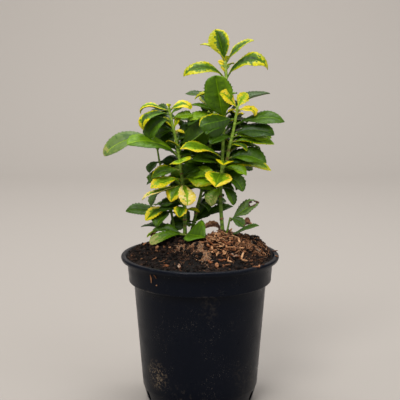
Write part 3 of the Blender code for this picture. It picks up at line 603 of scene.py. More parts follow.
def leaf_frame(leaf, share):
    """A leaf's direction, left side and upper side at this share of its length."""
    curl = leaf.curl * max(0.0, (share - CURL_START) / (1 - CURL_START)) ** 1.5
    rise = math.radians(leaf.rise - leaf.droop * share ** BEND - curl)
    heading = math.radians(leaf.heading)
    cos, sin = math.cos(heading), math.sin(heading)
    along = Vector((math.cos(rise) * cos, math.cos(rise) * sin, math.sin(rise)))
    level = Vector((-sin, cos, 0))
    upper = along.cross(level)
    roll = math.radians(leaf.roll) * min(1.0, share / PETIOLE)
    left = level * math.cos(roll) + upper * math.sin(roll)
    return along, left, along.cross(left)


def leaf_line(leaf, base, stations):
    """The middle line's points at the stations."""
    point, done, line = Vector(base), 0.0, []
    for share in stations:
        while done < share - 1e-9:
            step = min(0.02, share - done)
            point = point + leaf_frame(leaf, done + step / 2)[0] * step * leaf.length
            done += step
        line.append(point)
    return line


def leaf_tree(leaf, base, stations):
    """The source's plain leaf, a little swollen, as a tree that finds what touches it."""
    fold = math.radians(leaf.fold)
    keel = max(LEAST_KEEL, leaf.length * KEEL) + CLEARANCE
    points = []
    for share, point in zip(stations, leaf_line(leaf, base, stations)):
        _, left, upper = leaf_frame(leaf, share)
        half = half_width(leaf, share) + CLEARANCE
        lift = upper * math.sin(fold) * half
        spread = left * math.cos(fold) * half
        points += [point + lift + spread, point + upper * CLEARANCE]
        points += [point + lift - spread, point - upper * keel]
    points[-4:] = [(points[-4] + points[-2]) / 2]
    faces = [(0, 1, 2, 3)]
    last = 4 * (len(stations) - 2)
    for a in range(0, last, 4):
        faces += [(a + j, a + 4 + j, a + 4 + (j + 1) % 4, a + (j + 1) % 4) for j in range(4)]
    faces += [(last + j, last + 4, last + (j + 1) % 4) for j in range(4)]
    return BVHTree.FromPolygons(points, faces)


class Garden:
    """What stands already, so that each new leaf keeps clear of it."""

    def __init__(self):
        self.limbs = []
        self.blades = []

    def touches(self, leaf, base, mass, limb):
        """Whether a leaf of this mass and limb would touch a limb, the soil, the pot or a leaf.
        Only its blade is held clear of the limb that it grows from."""
        whole = leaf_tree(leaf, base, STATIONS)
        blade = leaf_tree(leaf, base, STATIONS[2 if leaf.length > SMALL_LEAF else 3:])
        for owner, solid in self.limbs:
            if (blade if owner == limb else whole).overlap(solid):
                return True
        for owner, other_whole, other_blade in self.blades:
            mine, other = (blade, other_blade) if owner == mass else (whole, other_whole)
            if mine.overlap(other):
                return True
        return False

    def keep(self, leaf, base, mass):
        """Notes a leaf that stands from now on."""
        trees = [leaf_tree(leaf, base, STATIONS[start:]) for start in (0, 2)]
        self.blades.append((mass, *trees))

    def settle(self, leaf, base, mass, limb):
        """The leaf, turned as little as it takes to touch nothing, or None."""
        for turn, lift in TURNS:
            trial = replace(leaf, heading=leaf.heading + turn, rise=leaf.rise + lift)
            if not self.touches(trial, base, mass, limb):
                self.keep(trial, base, mass)
                return trial
        return None


def foot_twig_line(twig):
    """Both ends of a foot twig, which starts clear of its stem's side."""
    heading, rise = math.radians(twig.heading), math.radians(twig.rise)
    out = Vector((math.cos(heading), math.sin(heading), 0.0))
    room = FOOT_TWIG_RADIUS * math.sin(rise) + 2 * GAP
    start = stem_at(twig.stem, twig.height) + out * (stem_radius(twig.stem, twig.height) + room)
    return start, start + (out * math.cos(rise) + Vector((0, 0, math.sin(rise)))) * twig.length


def plan_leaves(garden):
    """Every leaf with its foot, by mass. The leaves that come first in their pairs choose first."""
    plan = {name: [] for name in (*MASSES, *FOOT_TWIGS)}
    wanted = []
    for turn in (0, 1):
        for name, mass in MASSES.items():
            for height, *pair in mass.pairs:
                wanted.append((name, mass.stem, stem_at(mass.stem, height), pair[turn]))
    for name, twig in FOOT_TWIGS.items():
        start, tip = foot_twig_line(twig)
        for share, leaf in twig.leaves:
            wanted.append((name, name, start.lerp(tip, share), leaf))
    for name, limb, base, leaf in wanted:
        settled = garden.settle(leaf, base, name, limb)
        if settled:
            plan[name].append((settled, base))
    return plan


def plan_sprouts(garden, plan):
    """Short side twigs by a seeded rule: each leaves an axil and carries a pair of young leaves."""
    twigs = []
    for name, mass in MASSES.items():
        chance = random.Random(f"{SEED} {name}")
        grown = list(plan[name])
        for _ in range(mass.sprouts):
            base = chance.choice(grown)[1]
            heading = chance.uniform(0, 360)
            length, rise = chance.uniform(0.007, 0.012), chance.uniform(35, 60)
            shoot = Leaf(heading, length, rise, 0, TWIG_BREADTH)
            shoot = garden.settle(shoot, base, name, mass.stem)
            if not shoot:
                continue
            tip = base + leaf_frame(shoot, 0)[0] * shoot.length
            young = []
            for turn in (90, 270):
                leaf = Leaf(
                    heading + turn + chance.uniform(-15, 15),
                    chance.uniform(0.012, 0.018),
                    chance.uniform(15, 50),
                    chance.uniform(20, 60),
                )
                young.append(garden.settle(leaf, tip, name, mass.stem))
            if any(young):
                twigs.append((base, tip))
            plan[name] += [(leaf, tip) for leaf in young if leaf]
    return twigs


# Colours, as seen, which are dealt out face by face


def linear(colour):
    """A colour as seen, from 0 to 255, as the light that it gives back."""
    return tuple(c / 255 / 12.92 if c <= 10 else ((c / 255 + 0.055) / 1.055) ** 2.4 for c in colour)


def steps(count, *colours):
    """This many colours from the first to the last, evenly spaced through those between."""
    made = []
    for i in range(count):
        place = (len(colours) - 1) * i / (count - 1)
        index = min(int(place), len(colours) - 2)
        pair = zip(colours[index], colours[index + 1])
        made.append(tuple(round(a + (b - a) * (place - index)) for a, b in pair))
    return tuple(made)


def opaque(colour):
    """A colour as seen, as a shader takes it."""
    return (*linear(colour), 1)


GREENS = steps(
    13, (32, 54, 6), (46, 74, 6), (62, 94, 8), (82, 118, 8), (106, 144, 12), (130, 166, 22),
    (156, 188, 40),
)
# Bluish greens, partly a bluish tint of the leaves and partly a painted sheen.
BLUISH_TINTS_AND_SHEENS = steps(7, (36, 60, 22), (76, 104, 46), (136, 152, 78))
YELLOWS = (
    (156, 160, 8), (176, 174, 6), (196, 190, 8), (214, 200, 16), (226, 204, 34),
    (234, 208, 66), (242, 218, 110), (244, 226, 150),
)
PALES = ((104, 136, 44), (150, 152, 82))
UNDERS = steps(6, (50, 76, 12), (72, 102, 16), (98, 130, 28), (124, 154, 44))
BROWNS = ((58, 36, 26), (92, 58, 38), (128, 88, 58), (160, 120, 84))
FOLIAGE = GREENS + BLUISH_TINTS_AND_SHEENS + YELLOWS + PALES + UNDERS + BROWNS
BLUISH_AND_SHEEN_0 = len(GREENS)
YELLOW_0 = BLUISH_AND_SHEEN_0 + len(BLUISH_TINTS_AND_SHEENS)
PALE_0 = YELLOW_0 + len(YELLOWS)
UNDER_0 = PALE_0 + len(PALES)
BROWN_0 = UNDER_0 + len(UNDERS)

BARKS = (
    (60, 84, 18), (82, 110, 26), (104, 136, 34), (126, 156, 46), (148, 174, 64), (168, 188, 92),
    (108, 92, 44), (140, 92, 58), (76, 50, 34),
)
EARTHS = (
    (10, 7, 5), (17, 11, 8), (27, 18, 13), (42, 28, 20), (64, 42, 30),
    (94, 62, 43), (126, 84, 57), (156, 108, 74), (186, 136, 96), (208, 162, 120),
    (152, 94, 58), (110, 66, 42), (152, 130, 110),
)


class Paint:
    """A material that is built up node by node on its shader."""

    def __init__(self, name, specular):
        self.made = bpy.data.materials.new(name)
        self.made.use_nodes = True
        self.shader = self.made.node_tree.nodes["Principled BSDF"]
        self.feed(self.shader, {"Specular IOR Level": specular})
        self.place = self.node("TexCoord", {})["Object"]

    def feed(self, node, values):
        """Sets a node's inputs, and links those whose value is another node's output."""
        for key, value in values.items():
            if isinstance(value, bpy.types.NodeSocket):
                self.made.node_tree.links.new(value, node.inputs[key])
            else:
                node.inputs[key].default_value = value

    def node(self, kind, values, **settings):
        """The outputs of a new node."""
        made = self.made.node_tree.nodes.new(f"ShaderNode{kind}")
        for key, value in settings.items():
            setattr(made, key, value)
        self.feed(made, values)
        return made.outputs

    def noise(self, scale, detail, rough=0.55, stretch=None):
        """A cloud, which a stretch under 1 draws out along that axis."""
        place = self.place
        if stretch:
            place = self.node("Mapping", {"Vector": place, "Scale": stretch})["Vector"]
        values = {"Vector": place, "Scale": scale, "Detail": detail, "Roughness": rough}
        return self.node("TexNoise", values)["Fac"]

    def ramp(self, value, low, high, to_low=0.0, to_high=1.0):
        """What lies between low and high, spread from to_low to to_high."""
        values = {"Value": value, "From Min": low, "From Max": high}
        return self.node("MapRange", {**values, "To Min": to_low, "To Max": to_high})["Result"]

    def times(self, first, *others):
        """The product of two or more values."""
        for other in others:
            first = self.node("Math", {0: first, 1: other}, operation="MULTIPLY")["Value"]
        return first

    def mix(self, share, under, over):
        """A share of one colour over another."""
        return self.node("Mix", {0: share, 6: under, 7: over}, data_type="RGBA")[2]

    def finish(self, colour, roughness, relief=None):
        """The material with its colour, its roughness and its relief: height, strength, depth."""
        self.feed(self.shader, {"Base Color": colour, "Roughness": roughness})
        if relief:
            values = dict(zip(("Height", "Strength", "Distance"), relief))
            self.feed(self.shader, {"Normal": self.node("Bump", values)["Normal"]})
        return self.made


def plain_material(name, colour, kind):
    """A material of one plain colour, with the gloss and the fine relief of its kind."""
    specular, mottle, smooth, rough, grain, strength, depth = kind
    paint = Paint(name, specular)
    gloss = paint.ramp(paint.noise(mottle, 4, 0.5), 0, 1, smooth, rough)
    return paint.finish(opaque(colour), gloss, (paint.noise(grain, 3, 0.5), strength, depth))


# Finishes: specular, mottle scale, least and most roughness, grain scale, relief, depth of it
LEAF_FINISH = (0.2, 160, 0.30, 0.50, 1500, 0.35, 0.0003)
BARK_FINISH = (0.4, 300, 0.42, 0.68, 1200, 0.6, 0.0006)
EARTH_FINISH = (0.2, 200, 0.75, 1.0, 1600, 0.8, 0.0006)
foliage_set = [plain_material(f"foliage_{i + 1}", c, LEAF_FINISH) for i, c in enumerate(FOLIAGE)]
bark_set = [plain_material(f"stem_{i + 1}", c, BARK_FINISH) for i, c in enumerate(BARKS)]
earth_set = [plain_material(f"earth_{i + 1}", c, EARTH_FINISH) for i, c in enumerate(EARTHS)]


class Bag:
    """Gathers many small shapes, with a colour for each face, and makes them one mesh."""

    def __init__(self):
        self.points, self.faces, self.colours, self.count = [], [], [], 0

    def add(self, points, *groups):
        """Points, and groups of faces with their colours. A group's faces have the same number
        of corners."""
        points = np.asarray(points, np.float32).reshape(-1, 3)
        for faces, colours in groups:
            faces = np.asarray(faces, np.int64)
            faces = faces.reshape(-1, faces.shape[-1])
            colours = np.asarray(colours, np.int64).reshape(-1)
            self.faces.append(faces + self.count)
            self.colours.append(np.broadcast_to(colours, (len(faces),)))
        self.points.append(points)
        self.count += len(points)

    def piece(self, name, materials, sharp=None):
        """The gathered shapes as one object that rides on the plant."""
        mesh = bpy.data.meshes.new(name)
        points = np.concatenate(self.points)
        sizes = np.concatenate([np.full(len(f), f.shape[1]) for f in self.faces])
        corners = np.concatenate([f.reshape(-1) for f in self.faces])
        starts = np.concatenate([[0], np.cumsum(sizes)[:-1]])
        used, slots = np.unique(np.concatenate(self.colours), return_inverse=True)
        for index in used:
            mesh.materials.append(materials[index])
        for part, count, key, values in (
            (mesh.vertices, len(points), "co", points.reshape(-1)),
            (mesh.loops, len(corners), "vertex_index", corners.astype(np.int32)),
            (mesh.polygons, len(sizes), "loop_start", starts.astype(np.int32)),
        ):
            part.add(count)
            part.foreach_set(key, values)
        mesh.polygons.foreach_set("material_index", slots.astype(np.int32))
        mesh.update(calc_edges=True)
        if sharp is None:
            mesh.shade_flat()
        else:
            mesh.shade_smooth()
            mesh.set_sharp_from_angle(angle=math.radians(sharp))
        made = stand(name, mesh)
        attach(made, "root")
        return made


def around(rows, sides):
    """The faces between rows of points, each of which closes to a ring."""
    i, j = np.arange(rows - 1)[:, None] * sides, np.arange(sides)[None, :]
    after = (j + 1) % sides
    return np.stack([i + j, i + after, i + sides + after, i + sides + j], -1)


def fans(rows, sides, first):
    """Triangles from the first ring to the point first, and from the last to the one after it."""
    ring, last = np.arange(sides), (rows - 1) * sides
    after = (ring + 1) % sides
    return (
        np.stack([ring, after, np.full(sides, first)], -1),
        np.stack([last + after, last + ring, np.full(sides, first + 1)], -1),
    )


def circle(radius, z, angles):
    """A ring of points round the upright axis."""
    return np.stack([radius * np.cos(angles), radius * np.sin(angles), np.full(len(angles), z)], 1)


def full_turn(count):
    """This many angles that go once round."""
    return np.arange(count) * 2 * math.pi / count


def nearest(value, count, first=0):
    """The nearest of this many colours, as numbers that start with first."""
    return np.clip(np.round(value), 0, count - 1).astype(int) + first


def ripple(chance, waves, low, high):
    """A smooth random wave of one number, from about -1 to 1."""
    parts = [(chance.uniform(low, high), chance.uniform(0, 2 * math.pi)) for _ in range(waves)]
    return lambda x: sum(np.sin(rate * x + shift) for rate, shift in parts) / waves ** 0.5


def patch(chance, waves, low, high):
    """A smooth random field of two numbers, from about -1 to 1."""
    parts = [
        (chance.uniform(low, high), chance.uniform(-high, high), chance.uniform(0, 2 * math.pi))
        for _ in range(waves)
    ]
    return lambda x, y: sum(np.sin(a * x + b * y + c) for a, b, c in parts) / waves ** 0.5


# The leaves that are seen

PETIOLE_STEPS = 5
THICK = 0.00042
EDGE_THICK = 0.00024
FOOT_THICK = 0.0005
KEEL_DEPTH = 0.00075
KEEL_HALF_WIDTH = 0.0006
RIB_DEPTH = 0.00022
RIB_HALF_WIDTH = 0.00055
LEAST_HALF_WIDTH = 0.0003
VEINS = 7
VEIN_HEIGHT = 0.00026
VEIN_SLANT = 0.16
TOOTH = 0.0034
TOOTH_DEPTH = 0.0011
MOST_TWIST = 16
PLAIN_SHARE = 0.58


def any_look(chance):
    """A look by a seeded rule, for a leaf that has none of its own."""
    kind = chance.random()
    green = min(0.9, max(0.05, chance.gauss(0.32, 0.16)))
    if kind < PLAIN_SHARE:
        return Look(green, 0.7 if chance.random() < 0.25 else 0.0)
    wide = chance.uniform(0.12, 0.4)
    other = wide * chance.uniform(0.6, 1.4)
    tip, hue = chance.uniform(0, 0.25), chance.uniform(0.1, 0.9)
    return Look(green, 0.0, wide, other, tip, hue, 0.3)


def zone_lines(look, blade, half, chance):
    """For each half of a leaf, where its strips end from the midrib to the edge: the rib, two of
    the dark middle, three green and three of the margin, as shares of the half's width."""
    lines = {}
    for side, margin in ((1, look.left), (-1, look.right)):
        wobble, feather = ripple(chance, 3, 4, 14), ripple(chance, 3, 30, 90)
        deep = ripple(chance, 3, 5, 16)
        green = 1 - margin * (0.72 + 0.5 * blade)
        jags = np.array([chance.uniform(-1, 1) for _ in blade])
        jags = jags + 1.6 * ((blade * chance.uniform(9, 13)) % 1)
        if margin > 0:
            green = green + 0.12 * min(1, 3 * margin) * wobble(blade) + 0.05 * feather(blade)
            green = green + 0.07 * min(1, 3 * margin) * jags - 0.05
        if look.tip > 0:
            into = (blade - 1 + look.tip * (1 + 0.25 * wobble(blade))) / look.tip
            into = np.clip(into, 0, 1)
            green = green * (1 - into ** 0.6) + 0.05 * feather(blade) * into
        green = np.clip(green, 0.10, 0.93)
        dark = np.clip(green * (0.62 + 0.18 * deep(blade)), 0.07, green - 0.03)
        rib = np.clip(RIB_HALF_WIDTH / half, 0.03, 0.05)
        ends = [rib, (rib + dark) / 2, dark]
        ends += [dark + (green - dark) * k / 3 for k in (1, 2, 3)]
        ends += [green + (1 - green) * k / 3 for k in (1, 2, 3)]
        lines[side] = np.stack(ends, 1)
    return lines


def deal_colours(look, blade, lines, chance):
    """A colour for each face of the upper side, right edge to left edge, and for its underside."""
    count = lines[1].shape[1]
    strip = np.concatenate([np.arange(count)[::-1], np.arange(count)])[None, :]
    side = np.concatenate([np.full(count, -1), np.full(count, 1)])[None, :]
    along = ((blade[:-1] + blade[1:]) / 2)[:, None]
    strip, side, along = np.broadcast_arrays(strip, side, along)
    out = side * strip / (count - 1)
    cloud, speck, fleck = (patch(chance, *rule) for rule in ((4, 2, 9), (4, 20, 60), (5, 8, 40)))
    vein = along - VEIN_SLANT * np.abs(out)
    streaks, fingers = (patch(chance, 5, 20, 70)(vein, out * 0.12) for _ in range(2))
    shade = look.green + 0.05 * cloud(along, out) + 0.03 * speck(along, out)
    # Painted light and shade: the lean value makes one half of the leaf lighter and the other
    # darker.
    shade = shade + look.painted_half_light * side * 0.5
    # Fresher green in the strips beside the margin, and painted shade: each leaf darker towards its
    # foot and lighter towards its tip.
    shade = shade + 0.05 * (strip == 4) + 0.08 * (strip == 5) + 0.10 * (along - 0.5)
    shade = shade + 0.03 * streaks
    if look.left + look.right > 0.2:
        shade = shade + look.edge * (strip >= 3) - 0.08 * (strip < 3)
    green = nearest(shade * (len(GREENS) - 1), len(GREENS))
    # Bluish tones where the blue value is high: partly a bluish tint, partly a painted sheen.
    bluish_tint_and_sheen = nearest(shade * (len(BLUISH_TINTS_AND_SHEENS) - 1), len(BLUISH_TINTS_AND_SHEENS), BLUISH_AND_SHEEN_0)
    colour = np.where(look.blue + 0.25 * cloud(out, along) > 0.5, bluish_tint_and_sheen, green)
    warm = look.hue * 3.6 + 1.2 + 0.7 * cloud(out, along) + 0.7 * speck(out, along)
    warm = nearest(warm, len(YELLOWS), YELLOW_0)
    edge = np.where(side > 0, lines[1][:-1, 5:6], lines[-1][:-1, 5:6])
    yellow = (strip >= 6) & (edge < 0.925)
    yellow &= ~((streaks > 1.1 - 1.5 * look.streak) & (strip == 6))
    yellow &= ~((fingers > 1.7 - 1.5 * look.streak) & (strip == 7))
    yellow |= (strip == 5) & (fingers > 1.0) & (edge < 0.9)
    colour = np.where(yellow, warm, colour)
    rib, stalk = (strip == 0) & (along < 0.93) & (along > 0), along <= 0.0
    fresher = nearest((shade + 0.26) * (len(GREENS) - 1), len(GREENS))
    colour = np.where(rib, fresher, colour)
    colour = np.where(stalk, PALE_0 + int(look.green > 0.3), colour)
    beneath = nearest(shade * 1.3 * (len(UNDERS) - 1), len(UNDERS), UNDER_0)
    beneath = np.where(yellow, warm, beneath)
    beneath = np.where(rib | stalk, PALE_0, beneath)
    if look.pale:
        faded = along + 0.10 * cloud(along, out) + 0.05 * speck(along, out) > 1 - look.pale
        further = fleck(out, along) + 4 * (along - 1) + look.pale > -0.6
        colour = np.where(faded & ~yellow, PALE_0 + further, colour)
    if look.dead:
        dry = 1.2 + 1.1 * cloud(along, out) + 0.6 * speck(along, out)
        dry = nearest(dry, len(BROWNS), BROWN_0)
        dead = fleck(along, out) < 3 * look.dead - 1.2
        colour, beneath = np.where(dead, dry, colour), np.where(dead, dry, beneath)
    return colour, beneath


# The brown-rimmed hole: from one share of the blade to the other, its middle and a quarter of
# its width as shares of the leaf's half width, and its rim as a share of its own half width
HOLE = (0.66, 0.86, 0.04, 0.18, 0.32)
BURNT_TIP = 0.94


def blade_stations(leaf):
    """Shares of the blade's length that fall on the feet and points of its teeth, and how far the
    edge stands out there."""
    teeth = max(5, round(leaf.length * (1 - PETIOLE) / TOOTH))
    places = [(k + step) / teeth for k in range(teeth) for step in (0, 0.5, 0.88)]
    return np.array([*places, 1.0]), np.array([*((0.0, 0.55, 1.0) * teeth), 0.0])


def hole_walls(cells, ring):
    """The faces that join the upper side to the underside round the cells that are cut out."""
    walls = []
    for i, c in np.argwhere(~cells):
        near, far = (
            (row * ring + c, row * ring + c + 1, (row + 1) * ring - 2 - c, (row + 1) * ring - 1 - c)
            for row in (i, i + 1)
        )
        for row, column, wall in (
            (i, c - 1, (near[3], near[0], far[0], far[3])),
            (i, c + 1, (far[2], far[1], near[1], near[2])),
            (i - 1, c, (near[3], near[2], near[1], near[0])),
            (i + 1, c, far),
        ):
            if cells[row, column]:
                walls.append(wall)
    return walls


def burn_hole(blade, across, colour, beneath, chance):
    """The cells that a hole with a brown rim leaves, and the colours with the rim and the tip."""
    middle = (across[:-1, 1:] + across[:-1, :-1]) / 2
    along = (blade[:-1] + blade[1:])[:, None] / 2
    low, high, place, wide, rim = HOLE
    off = np.hypot((along - (low + high) / 2) / (high - low) * 2, (middle - place) / wide / 2)
    off = off * (1 + 0.22 * patch(chance, 4, 8, 24)(along, middle * 0.5))
    cells = off > 1
    burnt = ((off < 1 + 2 * rim) | (along > BURNT_TIP)) & cells
    colour = np.where(burnt, BROWN_0 + (off > 1 + rim).astype(int), colour)
    return cells, colour, np.where(burnt, BROWN_0 + 1, beneath)


def leaf_skin(leaf, blade, teeth, half, lines, pose, chance):
    """The places across a leaf, from right to left, and the points of its upper side and of its
    underside there, row by row."""
    left, upper, line, finer = pose
    rows = len(blade)
    fold = math.radians(leaf.fold + (chance.uniform(2, 14) if 0 <= leaf.fold <= 10 else 0))
    grown = np.clip(blade * 6, 0, 1)[:, None]
    wave, wave_size = ripple(chance, 2, 4.0, 11.0), chance.uniform(0.05, 0.12)
    cup = chance.uniform(0.06, 0.18)
    across = np.concatenate([-lines[-1][:, ::-1], np.zeros((rows, 1)), lines[1]], 1)
    reach = np.abs(across)
    depth = TOOTH_DEPTH * finer * np.clip((blade - 0.15) * 5, 0, 1) * np.clip((1 - blade) * 8, 0, 1)
    stray = np.array([chance.uniform(0.5, 1.3) for _ in range(rows)])
    width = half[:, None] * across
    for side in (1, -1):
        swell = ripple(chance, 3, 3.0, 12.0)
        uneven = 0.06 * swell(blade) + side * leaf.skew + chance.uniform(-0.05, 0.05)
        uneven = 1 + uneven * np.sin(math.pi * blade)
        width = np.where(across * side > 0, width * uneven[:, None], width)
    width = width + np.sign(across) * (teeth * depth * stray)[:, None] * (reach > 0.999)
    rise = np.abs(width) * math.sin(fold)
    rise = rise + half[:, None] * cup * np.sin(math.pi * reach) * grown
    rise = rise - RIB_DEPTH * (1 - 0.6 * blade)[:, None] * (reach < 0.001) * grown
    veins = -np.cos(2 * math.pi * VEINS * (blade[:, None] - VEIN_SLANT * reach))
    rise = rise + VEIN_HEIGHT * (veins * np.sin(math.pi * reach)) * grown * finer
    other = ripple(chance, 2, 5.0, 13.0)
    flutter = np.where(across > 0, wave(blade)[:, None], other(blade)[:, None])
    rise = rise + half[:, None] * wave_size * reach ** 2 * flutter * grown
    spread = width * math.cos(fold)
    top = line[:, None, :] + left[:, None, :] * spread[..., None]
    top = top + upper[:, None, :] * rise[..., None]
    round_off = np.sqrt(np.clip(1 - reach ** 2, 0, 1))
    thick = EDGE_THICK + (THICK - EDGE_THICK) * round_off
    keel = (KEEL_DEPTH * (1 - 0.75 * blade))[:, None]
    thick = thick + keel * np.exp(-((width / KEEL_HALF_WIDTH) ** 2))
    thick = thick + np.clip(1 - blade * 12, 0, 1)[:, None] * FOOT_THICK * round_off
    return across, top, top - upper[:, None, :] * thick[..., None]


def fine_leaf(bag, leaf, base, chance):
    """One leaf as a closed blade with teeth, veins and a keel, coloured by its look."""
    look = leaf.look or any_look(chance)
    finer = 0.5 if leaf.length < SMALL_LEAF else 1
    places, teeth = blade_stations(leaf)
    blade = np.concatenate([np.zeros(PETIOLE_STEPS), places])
    teeth = np.concatenate([np.zeros(PETIOLE_STEPS), teeth])
    share = PETIOLE + (1 - PETIOLE) * blade
    share[:PETIOLE_STEPS] = PETIOLE * np.arange(PETIOLE_STEPS) / PETIOLE_STEPS
    frames = [leaf_frame(leaf, s) for s in share]
    left, upper = (np.array([f[k] for f in frames]) for k in (1, 2))
    line = np.array(leaf_line(leaf, base, share))
    sway, dip = ripple(chance, 2, 4.0, 9.0), chance.uniform(0.0, 0.05)
    bend = 0.014 * sway(blade) * np.sin(math.pi * blade)
    bend = bend - dip * np.clip((blade - 0.75) * 4, 0, 1) ** 2
    line = line + upper * (leaf.length * bend)[:, None]
    twist = math.radians(chance.uniform(-MOST_TWIST, MOST_TWIST)) * blade[:, None]
    cos, sin = np.cos(twist), np.sin(twist)
    left, upper = left * cos + upper * sin, upper * cos - left * sin
    blunt = leaf.blunt + chance.uniform(-0.12, 0.12)
    taper = np.sin(math.pi * np.clip(blade, 0.001, 0.985) ** WIDEST) ** -blunt
    half = np.array([half_width(leaf, s) for s in share]) * np.where(blade > 0.56, taper, 1.0)
    half = np.maximum(half, LEAST_HALF_WIDTH)
    lines = zone_lines(look, blade, half, chance)
    pose = left, upper, line, finer
    across, top, under = leaf_skin(leaf, blade, teeth, half, lines, pose, chance)
    rows, wide = across.shape
    ring = 2 * wide
    colour, beneath = deal_colours(look, blade, lines, chance)
    cells = np.ones((rows - 1, wide - 1), bool)
    if look.hole:
        cells, colour, beneath = burn_hole(blade, across, colour, beneath, chance)
    a = np.arange(rows - 1)[:, None] * ring + np.arange(wide - 1)
    b = np.arange(1, rows)[:, None] * ring - 1 - np.arange(wide - 1)
    first, k, last = np.arange(rows - 1) * ring, np.arange(wide - 1), (rows - 1) * ring
    right = np.stack([first, first + ring - 1, first + 2 * ring - 1, first + ring], -1)
    first = first + wide - 1
    groups = [
        (np.stack([a, a + ring, a + ring + 1, a + 1], -1)[cells], colour[cells]),
        (np.stack([b, b - 1, b - 1 + ring, b + ring], -1)[cells], beneath[cells]),
        (right, colour[:, 0]),
        (np.stack([first, first + ring, first + ring + 1, first + 1], -1), colour[:, -1]),
        (np.stack([k, k + 1, ring - 2 - k, ring - 1 - k], -1), PALE_0),
        (last + np.stack([k, ring - 1 - k, ring - 2 - k, k + 1], -1), PALE_0),
    ]
    if look.hole:
        groups.append((hole_walls(cells, ring), BROWN_0))
    bag.add(np.concatenate([top, under[:, ::-1]], 1), *groups)


# The stems that are seen

ROUND = 18
STEM_PITCH = 0.0008
NODE_SPREAD = 0.0012
# Bark tones: the greens come first, then these
WOODY = 6
SCARRED = 7
# Where old leaves left scars: height, spread
SCARS = {
    "tall": ((0.2225, 0.0010), (0.1975, 0.0011)),
    "left": ((0.1955, 0.0010), (0.2460, 0.0008), (0.2780, 0.0009)),
    "middle": ((0.1985, 0.0009),),
}


def fine_tube(bag, points, radii, colours):
    """A tube whose radius may differ at every point of its skin. Its rows run along the points."""
    points = np.asarray(points, float)
    rows, sides = radii.shape
    ahead = np.gradient(points, axis=0)
    ahead /= np.linalg.norm(ahead, axis=1)[:, None]
    first = np.cross(ahead[0], (0.3, 1.0, 0.2))
    first /= np.linalg.norm(first)
    angles = full_turn(sides)
    skin = []
    for point, direction, radius in zip(points, ahead, radii):
        first = first - direction * first.dot(direction)
        first /= np.linalg.norm(first)
        second = np.cross(direction, first)
        out = np.cos(angles)[:, None] * first + np.sin(angles)[:, None] * second
        skin.append(point + radius[:, None] * out)
    skin += [points[:1], points[-1:] + ahead[-1:] * radii[-1].mean() * 0.6]
    dealt = np.broadcast_to(colours, (rows - 1, sides))
    foot, top = (fan[:, (1, 0, 2)] for fan in fans(rows, sides, rows * sides))
    bag.add(np.concatenate(skin), (around(rows, sides), dealt), (foot, dealt[0]), (top, dealt[-1]))


def fine_stem(name, extra=()):
    """A stem from its foot to its tip, with swellings where leaves stand and scars below them."""
    bag = Bag()
    chance = random.Random(f"bark {name}")
    start, end = foot_height(name), STEMS[name].path[-1][2]
    heights = np.linspace(start, end, int((end - start) / STEM_PITCH) + 1)
    points = [tuple(p) for p in extra] + [tuple(stem_at(name, h)) for h in heights]
    base = np.array([stem_radius(name, h) for h in heights])
    base = np.concatenate([np.full(len(extra), base[0]), base])
    heights = np.concatenate([np.full(len(extra), start), heights])
    angles = full_turn(ROUND)
    radii = base[:, None] * (1 + 0.045 * np.cos(4 * angles + chance.uniform(0, 6)))[None, :]
    for node in [h for mass in MASSES.values() if mass.stem == name for h, *_ in mass.pairs]:
        radii *= 1 + 0.16 * np.exp(-(((heights - node) / NODE_SPREAD) ** 2))[:, None]
    lump = patch(chance, 5, 2, 6)
    radii *= 1 + 0.02 * lump(heights[:, None] * 260, np.sin(angles)[None, :])
    tone = (heights - 0.19) / 0.17 * 2.6 + 1.6
    mottle, streak = patch(chance, 4, 2, 7), patch(chance, 4, 1, 5)
    x, y = heights[:, None] * 300, angles[None, :]
    shade = tone[:, None] + 0.6 * mottle(x, np.sin(y)) + 0.5 * streak(x * 0.3, np.cos(y) * 3)
    colours = nearest(shade, WOODY)
    woody = streak(x * 0.5, np.sin(y) * 2) - (heights[:, None] - start) / 0.02 > 0.2
    colours = np.where(woody, WOODY, colours)
    for scar, spread in SCARS.get(name, ()):
        tilted = heights[:, None] - scar + 0.0005 * np.sin(angles + scar * 900)[None, :]
        band = np.exp(-((tilted / spread) ** 2))
        radii *= 1 + 0.15 * band
        colours = np.where(band > 0.45, SCARRED + (mottle(x * 2, np.cos(y)) > 0.5), colours)
    fine_tube(bag, points, radii, colours[:-1])
    return bag


# The pot


def turned_skin(profile, count):
    """Points and faces of a profile that is turned round the upright axis, from the axis to it."""
    angles = full_turn(count)
    rings = [circle(radius, z, angles) for radius, z in profile[1:-1]]
    points = np.concatenate([*rings, [(0, 0, profile[0][1])], [(0, 0, profile[-1][1])]])
    quads = around(len(rings), count)[..., (0, 3, 2, 1)].reshape(-1, 4)
    return points, quads, np.concatenate(fans(len(rings), count, len(points) - 2))


def arc(x, z, radius, start, end, count):
    """Points of an arc in the profile's plane."""
    turns = [math.radians(start + (end - start) * i / count) for i in range(count + 1)]
    return [(x + radius * math.cos(t), z + radius * math.sin(t)) for t in turns]


